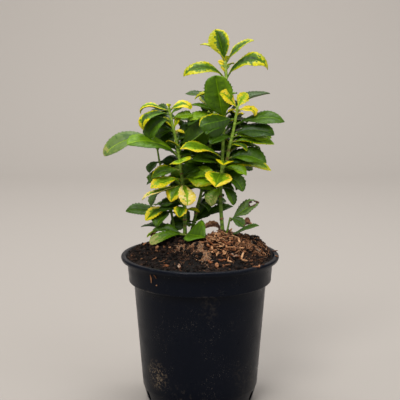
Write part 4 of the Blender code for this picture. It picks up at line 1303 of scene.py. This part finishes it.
def pot_profile():
    """Up inside from the floor, over the rolled rim and down the outside to the flat underside."""
    bead = POT_HEIGHT - BEAD_DEPTH
    collar_top, collar_foot, body_top = COLLAR_TOP_RADIUS, COLLAR_FOOT_RADIUS, BODY_TOP_RADIUS
    body_start = COLLAR_FOOT - 0.0024
    fall = CHAMFER_HEIGHT + 0.0008 - COLLAR_FOOT + 0.0024
    body = [
        (body_top + (BODY_FOOT_RADIUS - body_top) * i / 9, body_start + fall * i / 9)
        for i in range(1, 10)
    ]
    return [
        (0.0, FLOOR), (0.020, FLOOR), (0.040, FLOOR), (FOOT_RADIUS - WALL, FLOOR),
        (BODY_FOOT_RADIUS - WALL, CHAMFER_HEIGHT),
        (body_top - WALL, COLLAR_FOOT),
        (collar_foot - WALL, COLLAR_FOOT + 0.0022),
        (collar_top - WALL, bead),
        (collar_top - WALL + 0.0008, bead + 0.0016),
        *arc(RIM_RADIUS - 0.0042, POT_HEIGHT - 0.0012, 0.0012, 150, 90, 5),
        *arc(RIM_RADIUS - 0.0019, POT_HEIGHT - 0.0019, 0.0019, 90, -25, 12),
        (RIM_RADIUS - 0.0006, bead + 0.0008),
        (RIM_RADIUS - 0.0010, bead),
        (RIM_RADIUS - 0.0018, bead - 0.0001),
        (collar_top + 0.0020, bead - 0.0001),
        (collar_top + 0.0004, bead - 0.0009),
        (collar_top - 0.0001, bead - 0.0020),
        (collar_top - 0.0006, bead - 0.0080),
        (collar_foot + 0.0001, COLLAR_FOOT + 0.0040),
        (collar_foot, COLLAR_FOOT + 0.0012),
        *arc(collar_foot - 0.0010, COLLAR_FOOT + 0.0002, 0.0010, 0, -80, 5),
        (body_top + 0.0016, COLLAR_FOOT - 0.0010),
        (body_top + 0.0005, COLLAR_FOOT - 0.0014),
        (body_top, body_start),
        *body,
        (BODY_FOOT_RADIUS - 0.0006, CHAMFER_HEIGHT - 0.0009),
        (FOOT_RADIUS + 0.0030, 0.0018),
        (FOOT_RADIUS + 0.0022, 0.0006),
        (FOOT_RADIUS + 0.0010, 0.0001),
        (FOOT_RADIUS, 0.0), (0.030, 0.0), (0.0, 0.0),
    ]


def pot_material():
    """Near-black plastic with dust, pale specks, smears of dried earth and a faint orange peel."""
    paint = Paint("black_plastic", 0.1)
    noise, ramp, times = paint.noise, paint.ramp, paint.times

    def near(spot, reach):
        away = paint.node("VectorMath", {0: paint.place, 1: spot}, operation="DISTANCE")
        return ramp(away["Value"], reach, reach * 0.3)

    level = paint.node("SeparateXYZ", {"Vector": paint.place})["Z"]
    film = times(ramp(noise(22, 5), 0.42, 0.72), ramp(noise(180, 4), 0.3, 0.8))
    smear = times(
        ramp(noise(26, 4, 0.6, (1.0, 1.0, 0.5)), 0.60, 0.74), ramp(noise(320, 4), 0.44, 0.62),
    )
    scuff = times(
        near((-0.020, -0.070, 0.004), 0.036),
        ramp(noise(260, 5, 0.6, (1.0, 1.0, 0.6)), 0.56, 0.66),
    )
    splash = times(near((-0.047, -0.045, 0.041), 0.019), ramp(noise(330, 8, 0.75), 0.51, 0.62))
    specks = times(ramp(noise(1100, 2, 0.4), 0.675, 0.72), ramp(noise(40, 3), 0.50, 0.66))
    ledge = times(
        ramp(level, COLLAR_FOOT - 0.0032, COLLAR_FOOT - 0.0016),
        ramp(level, COLLAR_FOOT + 0.0012, COLLAR_FOOT - 0.0002),
        ramp(noise(26, 3), 0.46, 0.62), ramp(noise(260, 5, 0.7), 0.40, 0.66),
    )
    colour = opaque((6, 11, 22))
    for share, over in (
        (film, (13, 17, 27)), (smear, (50, 46, 42)), (scuff, (58, 54, 50)),
        (splash, (128, 112, 92)), (specks, (100, 95, 90)), (ledge, (90, 84, 78)),
    ):
        colour = paint.mix(share, colour, opaque(over))
    gloss = ramp(noise(70, 5), 0.3, 0.75, 0.26, 0.42)
    return paint.finish(colour, gloss, (noise(420, 3), 0.25, 0.0004))


def make_pot():
    """The pot, with its ring of drain holes cut through the sloping foot."""
    points, quads, caps = turned_skin(pot_profile(), POT_STEPS)
    mesh = bpy.data.meshes.new("pot_body")
    mesh.from_pydata(points.tolist(), [], quads.tolist() + caps.tolist())
    pot = stand("pot_body", mesh)
    middle, level = (FOOT_RADIUS + BODY_FOOT_RADIUS) / 2, CHAMFER_HEIGHT / 2
    slope = math.atan2(CHAMFER_HEIGHT, BODY_FOOT_RADIUS - FOOT_RADIUS)
    cutter = bmesh.new()
    for i in range(DRAINS):
        turn = 2 * math.pi * (i + 0.5) / DRAINS
        at = Matrix.Translation((middle * math.cos(turn), middle * math.sin(turn), level))
        place = at @ Matrix.Rotation(turn, 4, "Z") @ Matrix.Rotation(slope, 4, "Y")
        bmesh.ops.create_cone(
            cutter, cap_ends=True, segments=28, radius1=DRAIN_RADIUS, radius2=DRAIN_RADIUS,
            depth=DRAIN_CUT, matrix=place,
        )
    cutter_mesh = bpy.data.meshes.new("drains")
    cutter.to_mesh(cutter_mesh)
    cutter.free()
    drains = stand("drains", cutter_mesh)
    cut = pot.modifiers.new("drains", "BOOLEAN")
    cut.object = drains
    cut.solver = "EXACT"
    pot.data = baked(pot)
    pot.modifiers.clear()
    bpy.data.objects.remove(drains)
    pot.data.shade_smooth()
    pot.data.set_sharp_from_angle(angle=math.radians(38))
    pot.data.materials.clear()
    pot.data.materials.append(pot_material())
    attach(pot, "root")
    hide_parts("pot")


# The soil


earth_chance = random.Random("earth")
coarse = patch(earth_chance, 7, 60, 220)
medium = patch(earth_chance, 9, 250, 700)
fine_lumps = patch(earth_chance, 11, 900, 2400)
tone_field = patch(earth_chance, 6, 40, 160)


# Where the earth that is seen stands higher than its solid: x, y, spread, height
HEAPS = (
    (0.060, 0.020, 0.019, 0.0072), (0.034, -0.012, 0.018, 0.0025), (-0.046, 0.022, 0.022, 0.0050),
    (-0.004, -0.018, 0.010, 0.0020), (0.004, -0.042, 0.010, 0.0022),
)
# A pale crust along a low ridge
CRUST = ((-0.0234, -0.011), (-0.0107, -0.010), (-0.002, -0.022), (0.004, -0.041), (0.007, -0.055))
# Where the surface ends, where its edge begins to rise to the wall, and from what height
EDGE_RADIUS = 0.0784
LIP_RADIUS = 0.0750
LIP = 0.1596
SOIL_RINGS = 92
SOIL_STEPS = 260
# What lies on it: the size from which a crumb is made finer, the rows of a flake and of a thread,
# and how far out the flakes on the rim lie
LARGE_CRUMB = 0.0016
CHIP_ROWS = 5
FIBRE_ROWS = 6
RIM_MIDDLE = 0.0826
# An edge that leaves nothing out, and a room that none needs
NO_EDGE = 1.0
NO_ROOM = -1.0


def to_crust(x, y):
    """How far a place is from the line of the crust."""
    least = np.full(np.shape(x), 1.0)
    for (ax, ay), (bx, by) in zip(CRUST, CRUST[1:]):
        length = (bx - ax) ** 2 + (by - ay) ** 2
        share = np.clip(((x - ax) * (bx - ax) + (y - ay) * (by - ay)) / length, 0, 1)
        away = np.hypot(x - ax - share * (bx - ax), y - ay - share * (by - ay))
        least = np.minimum(least, away)
    return least


def crumbly(x, y):
    """The height of the soil with its lumps and hollows."""
    radius = np.hypot(x, y) / (COLLAR_TOP_RADIUS - WALL)
    plain = np.vectorize(soil_height)(x, y)
    for heap_x, heap_y, spread, rise in HEAPS:
        plain = plain + rise * np.exp(-(((x - heap_x) ** 2 + (y - heap_y) ** 2) / spread ** 2))
    plain = plain + 0.0020 * np.clip((radius - 0.75) * 4, 0, 1)
    lumps = 0.0010 * coarse(x, y) + 0.0009 * np.abs(medium(x, y)) + 0.0004 * fine_lumps(x, y)
    lumps = lumps + 0.0010 * np.exp(-((to_crust(x, y) / 0.006) ** 2))
    return plain + (lumps - 0.0006) * np.clip((1.02 - radius) * 12, 0.3, 1)


def make_soil():
    """The pot's filling: a peat surface of lumps and hollows, closed down to the pot's floor."""
    bag = Bag()
    inside = WALL + GAP
    radius = (EDGE_RADIUS * np.linspace(0, 1, SOIL_RINGS + 1)[1:] ** 0.9)[:, None]
    angles = full_turn(SOIL_STEPS)
    x, y = radius * np.cos(angles), radius * np.sin(angles)
    z = crumbly(x, y)
    z = np.where(radius > LIP_RADIUS, np.maximum(z, LIP + 0.28 * (radius - LIP_RADIUS)), z)
    wall = (
        (COLLAR_TOP_RADIUS - inside - 0.0004, POT_HEIGHT - 0.0050),
        (COLLAR_FOOT_RADIUS - inside, COLLAR_FOOT + 0.0028),
        (BODY_TOP_RADIUS - inside, COLLAR_FOOT),
        (BODY_FOOT_RADIUS - inside, CHAMFER_HEIGHT),
        (FOOT_RADIUS - inside, FLOOR + GAP),
    )
    sides = [circle(r, h, angles) for r, h in wall]
    skin = np.concatenate([np.stack([x, y, z], -1).reshape(-1, 3), *sides])
    centre = float(crumbly(np.array(0.0), np.array(0.0)))
    points = np.concatenate([skin, [(0, 0, centre)], [(0, 0, FLOOR + GAP)]])
    count = SOIL_RINGS + len(wall)
    heights = z - np.vectorize(soil_height)(x, y)
    tone = 1.2 + 0.8 * tone_field(x, y) + 350 * (heights - 0.001) + 0.8 * medium(y, x)
    crust = np.exp(-((to_crust(x, y) / 0.0055) ** 2))
    tone = tone + 5.0 * crust * (fine_lumps(y, x) > -0.4)
    tone = tone + 2.6 * np.exp(-(((x - 0.055) ** 2 + (y - 0.003) ** 2) / 0.016 ** 2))
    tones = np.full((count - 1, SOIL_STEPS), 1)
    tones[: SOIL_RINGS - 1] = nearest(tone, 7)[:-1]
    top, foot = fans(count, SOIL_STEPS, len(skin))
    bag.add(points, (around(count, SOIL_STEPS)[..., (0, 3, 2, 1)], tones), (top, 1), (foot, 1))
    soil = bag.piece("soil_surface", earth_set, 70)
    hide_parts("soil")


def icosphere(subdivisions):
    """The points and faces of a round lump."""
    ball = bmesh.new()
    bmesh.ops.create_icosphere(ball, subdivisions=subdivisions, radius=1)
    points = np.array([v.co for v in ball.verts])
    faces = np.array([[v.index for v in f.verts] for f in ball.faces])
    ball.free()
    return points, faces


SMALL_BALL, BALL = icosphere(1), icosphere(2)


def turned(points, spin, tilt, roll):
    """Points turned by three angles."""
    turn = Matrix.Rotation(spin, 3, "Z") @ Matrix.Rotation(tilt, 3, "Y")
    return points @ np.array((turn @ Matrix.Rotation(roll, 3, "X")).transposed())


def ground_at(x, y):
    """The height of the soil's surface with its lumps, at one place."""
    return max(float(crumbly(np.array(x), np.array(y))), LIP)


def clear_of_stems(x, y, room):
    """Whether a place on the soil is this far from every stem's foot."""
    feet = [(STEMS[name].path[0], STEMS[name].foot_radius) for name in BARE_UNTIL]
    return all(math.hypot(x - at[0], y - at[1]) > radius * 1.5 + room for at, radius in feet)


def crumb(bag, chance, x, y, size, tone, lift=0.25):
    """A lump of peat with an uneven surface, half sunk in the soil."""
    points, faces = BALL if size > LARGE_CRUMB else SMALL_BALL
    uneven = patch(chance, 3, 1.5, 5)
    uneven = uneven(points[:, :1] * 1.7 + points[:, 2:] * 1.3, points[:, 1:2] * 2.1)
    shape = points * (1 + 0.22 * uneven)
    shape = shape * (1, chance.uniform(0.6, 1.0), chance.uniform(0.6, 0.9)) * size
    turns = chance.uniform(0, 6.3), chance.uniform(-0.5, 0.5), chance.uniform(-0.5, 0.5)
    tones = tone + np.array([chance.choice((-1, 0, 0, 0, 1)) for _ in faces])
    place = (x, y, ground_at(x, y) + lift * size)
    bag.add(turned(shape, *turns) + place, (faces, np.clip(tones, 0, len(EARTHS) - 1)))


def chip(bag, chance, x, y, length, broad, thick, tone, tilt=0.3, lift=0.0006):
    """A flat flake of bark, of rows of uneven corners, with its grain in two tones."""
    along = np.linspace(-0.5, 0.5, CHIP_ROWS)
    taper = 1 - np.abs(along * 2) ** 2.5 * chance.uniform(0.3, 0.8)
    bend = chance.uniform(-0.15, 0.15)
    corners = []
    for u, share in zip(along, taper):
        half = broad / 2 * share * chance.uniform(0.8, 1.15)
        shift = bend * length * (u * u * 4 - 0.3)
        rise = chance.uniform(-0.15, 0.15) * thick
        for side, height in ((-1, 0.5), (0, 0.75), (1, 0.5), (1, -0.5), (-1, -0.5)):
            corners.append((u * length, side * half + shift, height * thick + rise))
    quads = around(CHIP_ROWS, 5)[:, :, ::-1]
    caps = np.array([(0, 1, 4), (1, 2, 3), (1, 3, 4)])
    caps = np.concatenate([caps, caps[:, ::-1] + (CHIP_ROWS - 1) * 5])
    turns = chance.uniform(0, 6.3), chance.uniform(-tilt, tilt), chance.uniform(-tilt, tilt)
    grain = [
        [chance.choice((0, 0, 1)) if k < 2 else 0 for k in range(5)] for _ in range(CHIP_ROWS - 1)
    ]
    place = (x, y, ground_at(x, y) + lift + thick / 2)
    shape = turned(np.array(corners), *turns) + place
    bag.add(shape, (quads, tone + np.array(grain)), (caps, tone))


def fibre(bag, chance, x, y, length, radius, tone, lift):
    """A thread of coir that lies kinked over the soil."""
    heading = chance.uniform(0, 6.3)
    slope = chance.uniform(-1.6, 1.6)
    points = []
    for k in range(FIBRE_ROWS):
        above = max(0.0, 1 + slope * (k / FIBRE_ROWS - 0.5) + chance.uniform(-0.4, 0.4))
        points.append((x, y, ground_at(x, y) + 0.0002 + lift * above))
        heading += chance.gauss(0, 0.38)
        x += math.cos(heading) * length / FIBRE_ROWS
        y += math.sin(heading) * length / FIBRE_ROWS
        if math.hypot(x, y) > COLLAR_TOP_RADIUS - WALL - 0.002:
            break
    if len(points) < 4:
        return
    radii = np.full((len(points), 5), radius)
    radii[0] *= 0.5
    radii[-1] *= 0.4
    fine_tube(bag, points, radii, tone)


def scatter(chance, reach):
    """A place on the soil within this radius."""
    turn, share = chance.uniform(0, 2 * math.pi), math.sqrt(chance.random()) * reach
    return share * math.cos(turn), share * math.sin(turn)


def stuck_chip(bag, chance, x, z, length, broad, tone, slant):
    """A flake that clings to the front of the pot's collar."""
    wider = (COLLAR_TOP_RADIUS - COLLAR_FOOT_RADIUS) * (z - COLLAR_FOOT) / COLLAR_HEIGHT
    radius = COLLAR_FOOT_RADIUS + wider + 0.0005
    turn = -math.acos(x / radius)
    out = np.array((math.cos(turn), math.sin(turn), 0.0))
    level = np.array((-math.sin(turn), math.cos(turn), 0.0))
    up = np.array((0.0, 0.0, 1.0))
    along = level * math.cos(slant) + up * math.sin(slant)
    across = up * math.cos(slant) - level * math.sin(slant)
    rows = []
    for k in range(CHIP_ROWS):
        u = k / (CHIP_ROWS - 1) - 0.5
        half = broad / 2 * (1 - abs(2 * u) ** 3 * 0.6) * chance.uniform(0.8, 1.1)
        spot = out * (radius + 0.0004 * (4 * u * u)) + up * z + along * u * length
        rows.append([spot + across * half, spot + out * 0.0006, spot - across * half,
                     spot - out * 0.0002])
    caps = [(0, 3, 2, 1), (16, 17, 18, 19)]
    bag.add(np.array(rows), (around(CHIP_ROWS, 4), tone), (caps, tone))


# Flakes that stand out one by one: x, y, length, breadth, tone
SINGLE_CHIPS = (
    (-0.0466, -0.002, 0.0090, 0.0034, 7), (-0.034, -0.058, 0.0070, 0.0028, 10),
    (-0.021, -0.066, 0.0085, 0.0030, 11), (0.017, -0.063, 0.0095, 0.0036, 6),
    (0.028, -0.060, 0.0070, 0.0026, 5), (0.010, -0.058, 0.0060, 0.0030, 10),
    (-0.060, 0.012, 0.0060, 0.0026, 7), (0.046, -0.044, 0.0070, 0.0028, 8),
    (0.012, 0.002, 0.0095, 0.0026, 8), (0.024, -0.006, 0.0110, 0.0024, 9),
    (0.032, -0.002, 0.0100, 0.0022, 8), (0.006, 0.010, 0.0095, 0.0024, 10),
)
# Those on the collar: x, z, length, breadth, tone, slant in radians
STUCK_CHIPS = (
    (-0.0500, 0.1500, 0.0085, 0.0016, 7, 1.75), (-0.0455, 0.1530, 0.0050, 0.0014, 6, 2.3),
    (-0.0440, 0.1440, 0.0018, 0.0013, 8, 0.4),
)
# Those on the rim: turn in degrees, length, breadth, tone
RIM_CHIPS = (
    (-46, 0.0075, 0.0022, 6), (-43, 0.0060, 0.0018, 7), (-9, 0.0085, 0.0016, 6),
    (-38, 0.0050, 0.0016, 4), (8, 0.0060, 0.0016, 5),
)


def bare(x, y):
    """Whether a place is on the pale crust or in the dark hollow beside it, where little lies."""
    on_ridge = float(to_crust(np.array(x), np.array(y))) < 0.005
    return on_ridge or math.hypot(x + 0.020, y + 0.036) < 0.014


def to_left(y):
    """Where the shavings end beside the crust and the foot leaves."""
    return 0.004 - 0.25 * y


def within(radius):
    """A rule for places on the soil within this radius."""
    return lambda chance: scatter(chance, radius)


def beside(x, spread_x, y, spread_y):
    """A rule for places scattered round a middle."""
    return lambda chance: (chance.gauss(x, spread_x), chance.gauss(y, spread_y))


def on_crust(chance):
    """A place on or near the line of the crust."""
    share = chance.uniform(0, len(CRUST) - 1.001)
    (ax, ay), (bx, by) = CRUST[int(share)], CRUST[int(share) + 1]
    x = ax + (bx - ax) * (share % 1) + chance.gauss(0, 0.0035)
    return x, ay + (by - ay) * (share % 1) + chance.gauss(0, 0.0045)


def anywhere(x, y):
    """Leaves out no place."""
    return True


def but_bare(x, y):
    """Leaves out the bare places."""
    return not bare(x, y)


def but_left(x, y):
    """Leaves out what is to the left of the shavings' end."""
    return x > to_left(y)


def strew(chance, count, place, edge, room, keep, *kinds):
    """Puts down this many things of these kinds in turn. Each gets a place by the rule, and is left
    out past the edge, near a stem or where it isn't kept. A kind is what makes it, its bag and its
    measures, of which a pair is a range and a list is what to choose from."""
    for k in range(count):
        x, y = place(chance)
        if math.hypot(x, y) >= edge or not clear_of_stems(x, y, room) or not keep(x, y):
            continue
        make, bag, *rules = kinds[k % len(kinds)]
        drawn = [
            chance.uniform(*rule) if isinstance(rule, tuple)
            else chance.choice(rule) if isinstance(rule, list) else rule
            for rule in rules
        ]
        make(bag, chance, x, y, *drawn)


def make_debris():
    """Crumbs, bark and fibres on the soil: coarse and pale on the right round the tall stem."""
    chance = random.Random("debris")
    reach = EDGE_RADIUS - 0.0016
    crumbs, litter = Bag(), Bag()
    for count, edge, sizes, tones in (
        (1900, reach, (0.0004, 0.0012), (0, 1, 1, 2, 2, 3, 4, 5)),
        (620, reach - 0.001, (0.0012, 0.0030), (0, 1, 1, 2, 2, 3)),
    ):
        for _ in range(count):
            x, y = scatter(chance, edge)
            size = chance.uniform(*sizes)
            if clear_of_stems(x, y, size):
                crumb(crumbs, chance, x, y, size, chance.choice(tones))
    # How many, where, how far out at most, room to the stems, what stays, and the kinds in turn
    for rule in (
        (900, on_crust, NO_EDGE, 0.002, anywhere,
         (fibre, litter, (0.002, 0.005), (0.00010, 0.00018), [7, 8, 9, 12, 12], 0.0008),
         (crumb, crumbs, (0.0004, 0.0010), [7, 12, 12, 12, 8, 8])),
        (190, within(reach - 0.002), NO_EDGE, 0.004, but_bare,
         (chip, litter, (0.0025, 0.0065), (0.0010, 0.0024), (0.0006, 0.0012),
          [1, 2, 2, 3, 3, 4, 5, 7, 11, 11], 0.5)),
        (760, beside(0.042, 0.018, 0.004, 0.022), reach - 0.001, 0.0012, but_bare,
         (fibre, litter, (0.003, 0.010), (0.00014, 0.00032), [4, 5, 5, 6, 6, 7, 7],
          (0.0004, 0.0018))),
        (560, beside(0.054, 0.010, 0.003, 0.011), reach - 0.001, 0.0012, anywhere,
         (crumb, crumbs, (0.0005, 0.0013), [4, 5, 6, 7], 0.5),
         *[(fibre, litter, (0.003, 0.009), (0.00018, 0.00040), [6, 6, 7, 7, 8, 12],
            (0.0005, 0.0026))] * 2),
        (200, within(reach - 0.003), NO_EDGE, 0.0012, but_bare,
         (fibre, litter, (0.003, 0.010), (0.00010, 0.00022), [3, 4, 5, 6, 7], (0.0002, 0.0012))),
        (320, beside(0.036, 0.022, 0.002, 0.024), reach - 0.002, 0.004, but_bare,
         (chip, litter, (0.0020, 0.0060), (0.0008, 0.0020), (0.0005, 0.0010),
          [2, 3, 3, 4, 4, 5, 5, 6, 7], 0.8, (0.0006, 0.0026))),
        (170, beside(0.019, 0.011, -0.010, 0.018), NO_EDGE, 0.003, but_left,
         (chip, litter, (0.0030, 0.0092), (0.0012, 0.0032), (0.0005, 0.0009),
          [6, 7, 8, 8, 9, 10, 11], 0.8, (0.0010, 0.0040))),
        (60, beside(0.060, 0.008, 0.020, 0.012), reach - 0.003, NO_ROOM, anywhere,
         (crumb, crumbs, (0.0012, 0.0034), [1, 2, 2, 3], 0.7)),
    ):
        strew(chance, *rule)
    for x, y, length, broad, tone in SINGLE_CHIPS:
        chip(litter, chance, x, y, length, broad, 0.0012, tone, 0.35, 0.0016)
    for values in STUCK_CHIPS:
        stuck_chip(litter, chance, *values)
    for turn, length, broad, tone in RIM_CHIPS:
        turn = math.radians(turn)
        x, y = RIM_MIDDLE * math.cos(turn), RIM_MIDDLE * math.sin(turn)
        lift = POT_HEIGHT + 0.0001 - ground_at(x, y)
        chip(litter, chance, x, y, length, broad, 0.0007, tone, 0.15, lift)
    for bag, name in ((crumbs, "soil_crumbs"), (litter, "soil_litter")):
        made = bag.piece(name, earth_set)
        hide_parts("soil")


# The camera, and all of it

CAMERA = Vector((0, -1.0, 0.3971))
CAMERA_TILT = 80
LENS = 85.5
SENSOR = 36
PICTURE = 400

# The paper that the pot stands on, and the lamps: place, aim, size, watts, colour
PAPER_REACH = 9.0
PAPER_COLOUR = (168, 162, 156)
LAMPS = (
    ("key", (-0.5, -1.2, 1.7), (0, 0, 0.25), (0.8, 0.8), 24, (1.0, 0.98, 0.95)),
    ("fill", (1.2, -1.0, 0.9), (0, 0, 0.24), (1.0, 1.0), 6, (0.98, 0.99, 1.0)),
    ("left_strip", (-1.2, -0.30, 0.50), (0, 0, 0.10), (0.10, 0.6), 1.3, (1.0, 0.99, 0.97)),
    ("right_strip", (1.2, -0.20, 0.50), (0, 0, 0.10), (0.10, 0.6), 1.0, (1.0, 0.99, 0.97)),
    ("wall", (0.0, 0.75, 2.3), (0, 2.3, 0.5), (2.6, 0.8), 57, (1.0, 0.99, 0.98)),
    ("top", (0.0, 0.1, 1.6), (0, 0.05, 0.2), (0.9, 0.7), 7, (1.0, 1.0, 1.0)),
)

# Further leaves: shares of a leaf's length at which it is looked at, how far past its mass's box
# its tip may reach, and how often each is tried
LOOKED_AT = (0.3, 0.5, 0.7, 0.85, 1.0)
INFILL_MARGIN = 0.004
INFILL_TRIES = 14

# Where the right shoot leaves the tall stem
FORK = ((0.0243, 0.0146, 0.2530), (0.0258, 0.0140, 0.2556), (0.0270, 0.0136, 0.2575))


def seen_at(point):
    """Where the camera sees a point, in a picture 400 wide and high."""
    away = Vector(point) - CAMERA
    tilt = math.radians(CAMERA_TILT)
    depth = away.dot(Vector((0, math.sin(tilt), -math.cos(tilt))))
    height = away.dot(Vector((0, math.cos(tilt), math.sin(tilt))))
    scale = PICTURE * LENS / SENSOR / depth
    return PICTURE / 2 + away.x * scale, PICTURE / 2 - height * scale


def in_foliage(leaf, base):
    """Whether a leaf stays in the bands and leaves their openings free."""
    for share, point in zip(LOOKED_AT, leaf_line(leaf, base, LOOKED_AT)):
        side = leaf_frame(leaf, share)[1] * half_width(leaf, share) * 0.9
        for spot in (point - side, point, point + side):
            x, y = seen_at(spot)
            if not any(top <= y <= foot and low <= x <= high for top, foot, low, high in BANDS):
                return False
            if any(low < x < high and top < y < foot for low, top, high, foot in OPENINGS):
                return False
    return True


def fill_in(garden, plan):
    """Leaves between the planned pairs, within the room of each mass."""
    for name, wanted in INFILL.items():
        chance = random.Random(f"infill {name}")
        mass = MASSES[name]
        box = [Vector(corner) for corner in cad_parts[name].bound_box]
        low = Vector(min(c[i] for c in box) - INFILL_MARGIN for i in range(3))
        high = Vector(max(c[i] for c in box) + INFILL_MARGIN for i in range(3))
        done = 0
        for _ in range(wanted * INFILL_TRIES):
            if done == wanted:
                break
            height = chance.uniform(mass.start + 0.002, mass.end - 0.001)
            look = chance.choice((DARK, DARK, PLAIN, Look(0.22, 0.4), Look(0.3)))
            heading = chance.choice((0, 180)) + chance.uniform(-50, 50)
            if math.sin(math.radians(heading)) < 0.15:
                heading = -heading
            roll = chance.uniform(5, 45) * (1 if math.cos(math.radians(heading)) > 0 else -1)
            leaf = Leaf(
                heading, chance.uniform(0.028, 0.046), chance.uniform(-10, 55),
                chance.uniform(15, 70), chance.uniform(0.5, 0.68), roll, look=look,
            )
            base = stem_at(mass.stem, height)
            tip = leaf_line(leaf, base, (1.0,))[0]
            out = any(not low[i] < tip[i] < high[i] for i in range(3))
            if out or tip.y < max(base.y - 0.004, 0.019) or not in_foliage(leaf, base):
                continue
            leaf = garden.settle(leaf, base, name, mass.stem)
            if leaf and in_foliage(leaf, base) and leaf_line(leaf, base, (1.0,))[0].y > base.y:
                plan[name].append((leaf, base))
                done += 1


def as_seen(leaf, base, name):
    """The leaf with the values that differ in the picture, and its foot."""
    leaf = replace(leaf, **leaf.seen)
    if name not in MASSES:
        return leaf, base - Vector((0, 0, leaf.drop))
    return leaf, stem_at(MASSES[name].stem, base.z - leaf.drop) if leaf.drop else base


def add_dead(plan):
    """Dry brown scraps on the tip of a leaf at the foot and of one low down, and on the soil."""
    for name, share, shape in (
        ("right_foot_leaves", 0.94, (40, 0.012, 50, 50, 0.8)),
        ("middle_lower_leaves", 0.97, (30, 0.008, 60, 40, 0.6)),
    ):
        tip = leaf_line(*plan[name][1], (share,))[0]
        plan[name].append((Leaf(*shape, 40, 20, 60, look=DEAD), tip))
    for heading, length, x, y in (
        (10, 0.034, -0.005, 0.022), (20, 0.014, 0.016, 0.006), (160, 0.018, -0.040, 0.014),
    ):
        scrap = Leaf(heading, length, 48, 56, 0.28, 30, 20, 90, look=DEAD)
        plan["left_foot_leaves"].append((scrap, Vector((x, y, ground_at(x, y) + 0.0020))))


def grow():
    """Makes the leaves, mass by mass, and returns the short side twigs."""
    garden = Garden()
    garden.limbs += [(name, tree_of_node(name)) for name in ("pot", "soil")]
    for name, end in BARE_UNTIL.items():
        garden.limbs.append((name, stem_tree(name, foot_height(name), end)))
    for name, mass in MASSES.items():
        garden.limbs.append((mass.stem, stem_tree(mass.stem, mass.start + GAP, mass.end)))
    for name, twig in FOOT_TWIGS.items():
        radii = [FOOT_TWIG_RADIUS * share for share in (1.0, 0.95, 0.9)]
        start, tip = foot_twig_line(twig)
        garden.limbs.append((name, tube_tree([start, start.lerp(tip, 0.5), tip], radii)))
    plan = plan_leaves(garden)
    twigs = plan_sprouts(garden, plan)
    garden.blades = []
    for name, leaves in plan.items():
        plan[name] = [as_seen(leaf, base, name) for leaf, base in leaves]
        for leaf, base in plan[name]:
            garden.keep(leaf, base, name)
    fill_in(garden, plan)
    add_dead(plan)
    for name, leaves in plan.items():
        bag = Bag()
        for index, (leaf, base) in enumerate(leaves):
            fine_leaf(bag, leaf, base, random.Random(f"{name} {index}"))
        made = bag.piece(name.replace("_leaves", "_foliage"), foliage_set, 65)
        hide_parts(name)
    return twigs


def make_stems(twigs):
    """Each stem with its masses' stretches, the foot twigs and the short side twigs."""
    for name in STEMS:
        bag = fine_stem(name, FORK if name == "right" else ())
        made = bag.piece(f"{name}_bark", bark_set, 60)
        own = [f"{name}_stem"] if name in BARE_UNTIL else []
        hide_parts(*own, *[m for m, mass in MASSES.items() if mass.stem == name])
    bag = Bag()
    for twig in FOOT_TWIGS.values():
        start, tip = foot_twig_line(twig)
        back = stem_at(twig.stem, twig.height)
        points = [back.lerp(start, 0.5), *[start.lerp(tip, i / 8) for i in range(9)]]
        radii = np.linspace(0.00115, 0.0009, len(points))[:, None] * np.ones((1, 10))
        fine_tube(bag, points, radii, 2)
    for base, tip in twigs:
        points = [base.lerp(tip, i / 5) for i in range(6)]
        radii = np.linspace(0.0008, 0.0006, len(points))[:, None] * np.ones((1, 8))
        fine_tube(bag, points, radii, 3)
    made = bag.piece("side_twigs", bark_set, 60)
    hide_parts(*FOOT_TWIGS)


def make_stage():
    """A pale paper floor that curves up far behind, with soft lights."""
    turns = np.linspace(0, math.pi / 2, 19)[1:]
    bend, far = 0.8, 1.6
    profile = [(-PAPER_REACH, 0.0), (far, 0.0)]
    profile += [(far + bend * math.sin(t), bend - bend * math.cos(t)) for t in turns]
    profile += [(far + bend, 3.2)]
    points = [(x, y, z) for y, z in profile for x in (-PAPER_REACH, PAPER_REACH)]
    faces = [(2 * i, 2 * i + 1, 2 * i + 3, 2 * i + 2) for i in range(len(profile) - 1)]
    mesh = bpy.data.meshes.new("backdrop")
    mesh.from_pydata(points, [], faces)
    mesh.shade_smooth()
    paint = Paint("paper", 0.2)
    cloud = paint.node("TexNoise", {"Scale": 3})["Fac"]
    shades = [opaque([c * share for c in PAPER_COLOUR]) for share in (0.98, 1.02)]
    mesh.materials.append(paint.finish(paint.mix(cloud, *shades), 0.9))
    stand("backdrop", mesh)
    for name, place, aim, size, watts, colour in LAMPS:
        light = bpy.data.lights.new(name, "AREA")
        light.shape = "RECTANGLE"
        light.size, light.size_y = size
        light.energy = watts
        light.color = colour
        lamp = stand(name, light)
        lamp.location = place
        ahead = Vector(aim) - Vector(place)
        lamp.rotation_euler = ahead.to_track_quat("-Z", "Y").to_euler()
    world = bpy.data.worlds.new("studio")
    world.use_nodes = True
    background = world.node_tree.nodes["Background"]
    background.inputs["Color"].default_value = (0.95, 0.95, 0.95, 1)
    background.inputs["Strength"].default_value = 0.30
    bpy.context.scene.world = world
    bpy.context.scene.view_settings.view_transform = "Standard"


def make_camera():
    """The camera, level with the top of the crown and looking down by 10 degrees."""
    data = bpy.data.cameras.new("camera")
    data.lens = LENS
    data.sensor_width = SENSOR
    camera = stand("camera", data)
    camera.location = CAMERA
    camera.rotation_euler = (math.radians(CAMERA_TILT), 0, 0)
    bpy.context.scene.camera = camera


make_pot()
make_soil()
make_debris()
make_stems(grow())
make_stage()
make_camera()
bpy.context.view_layer.update()
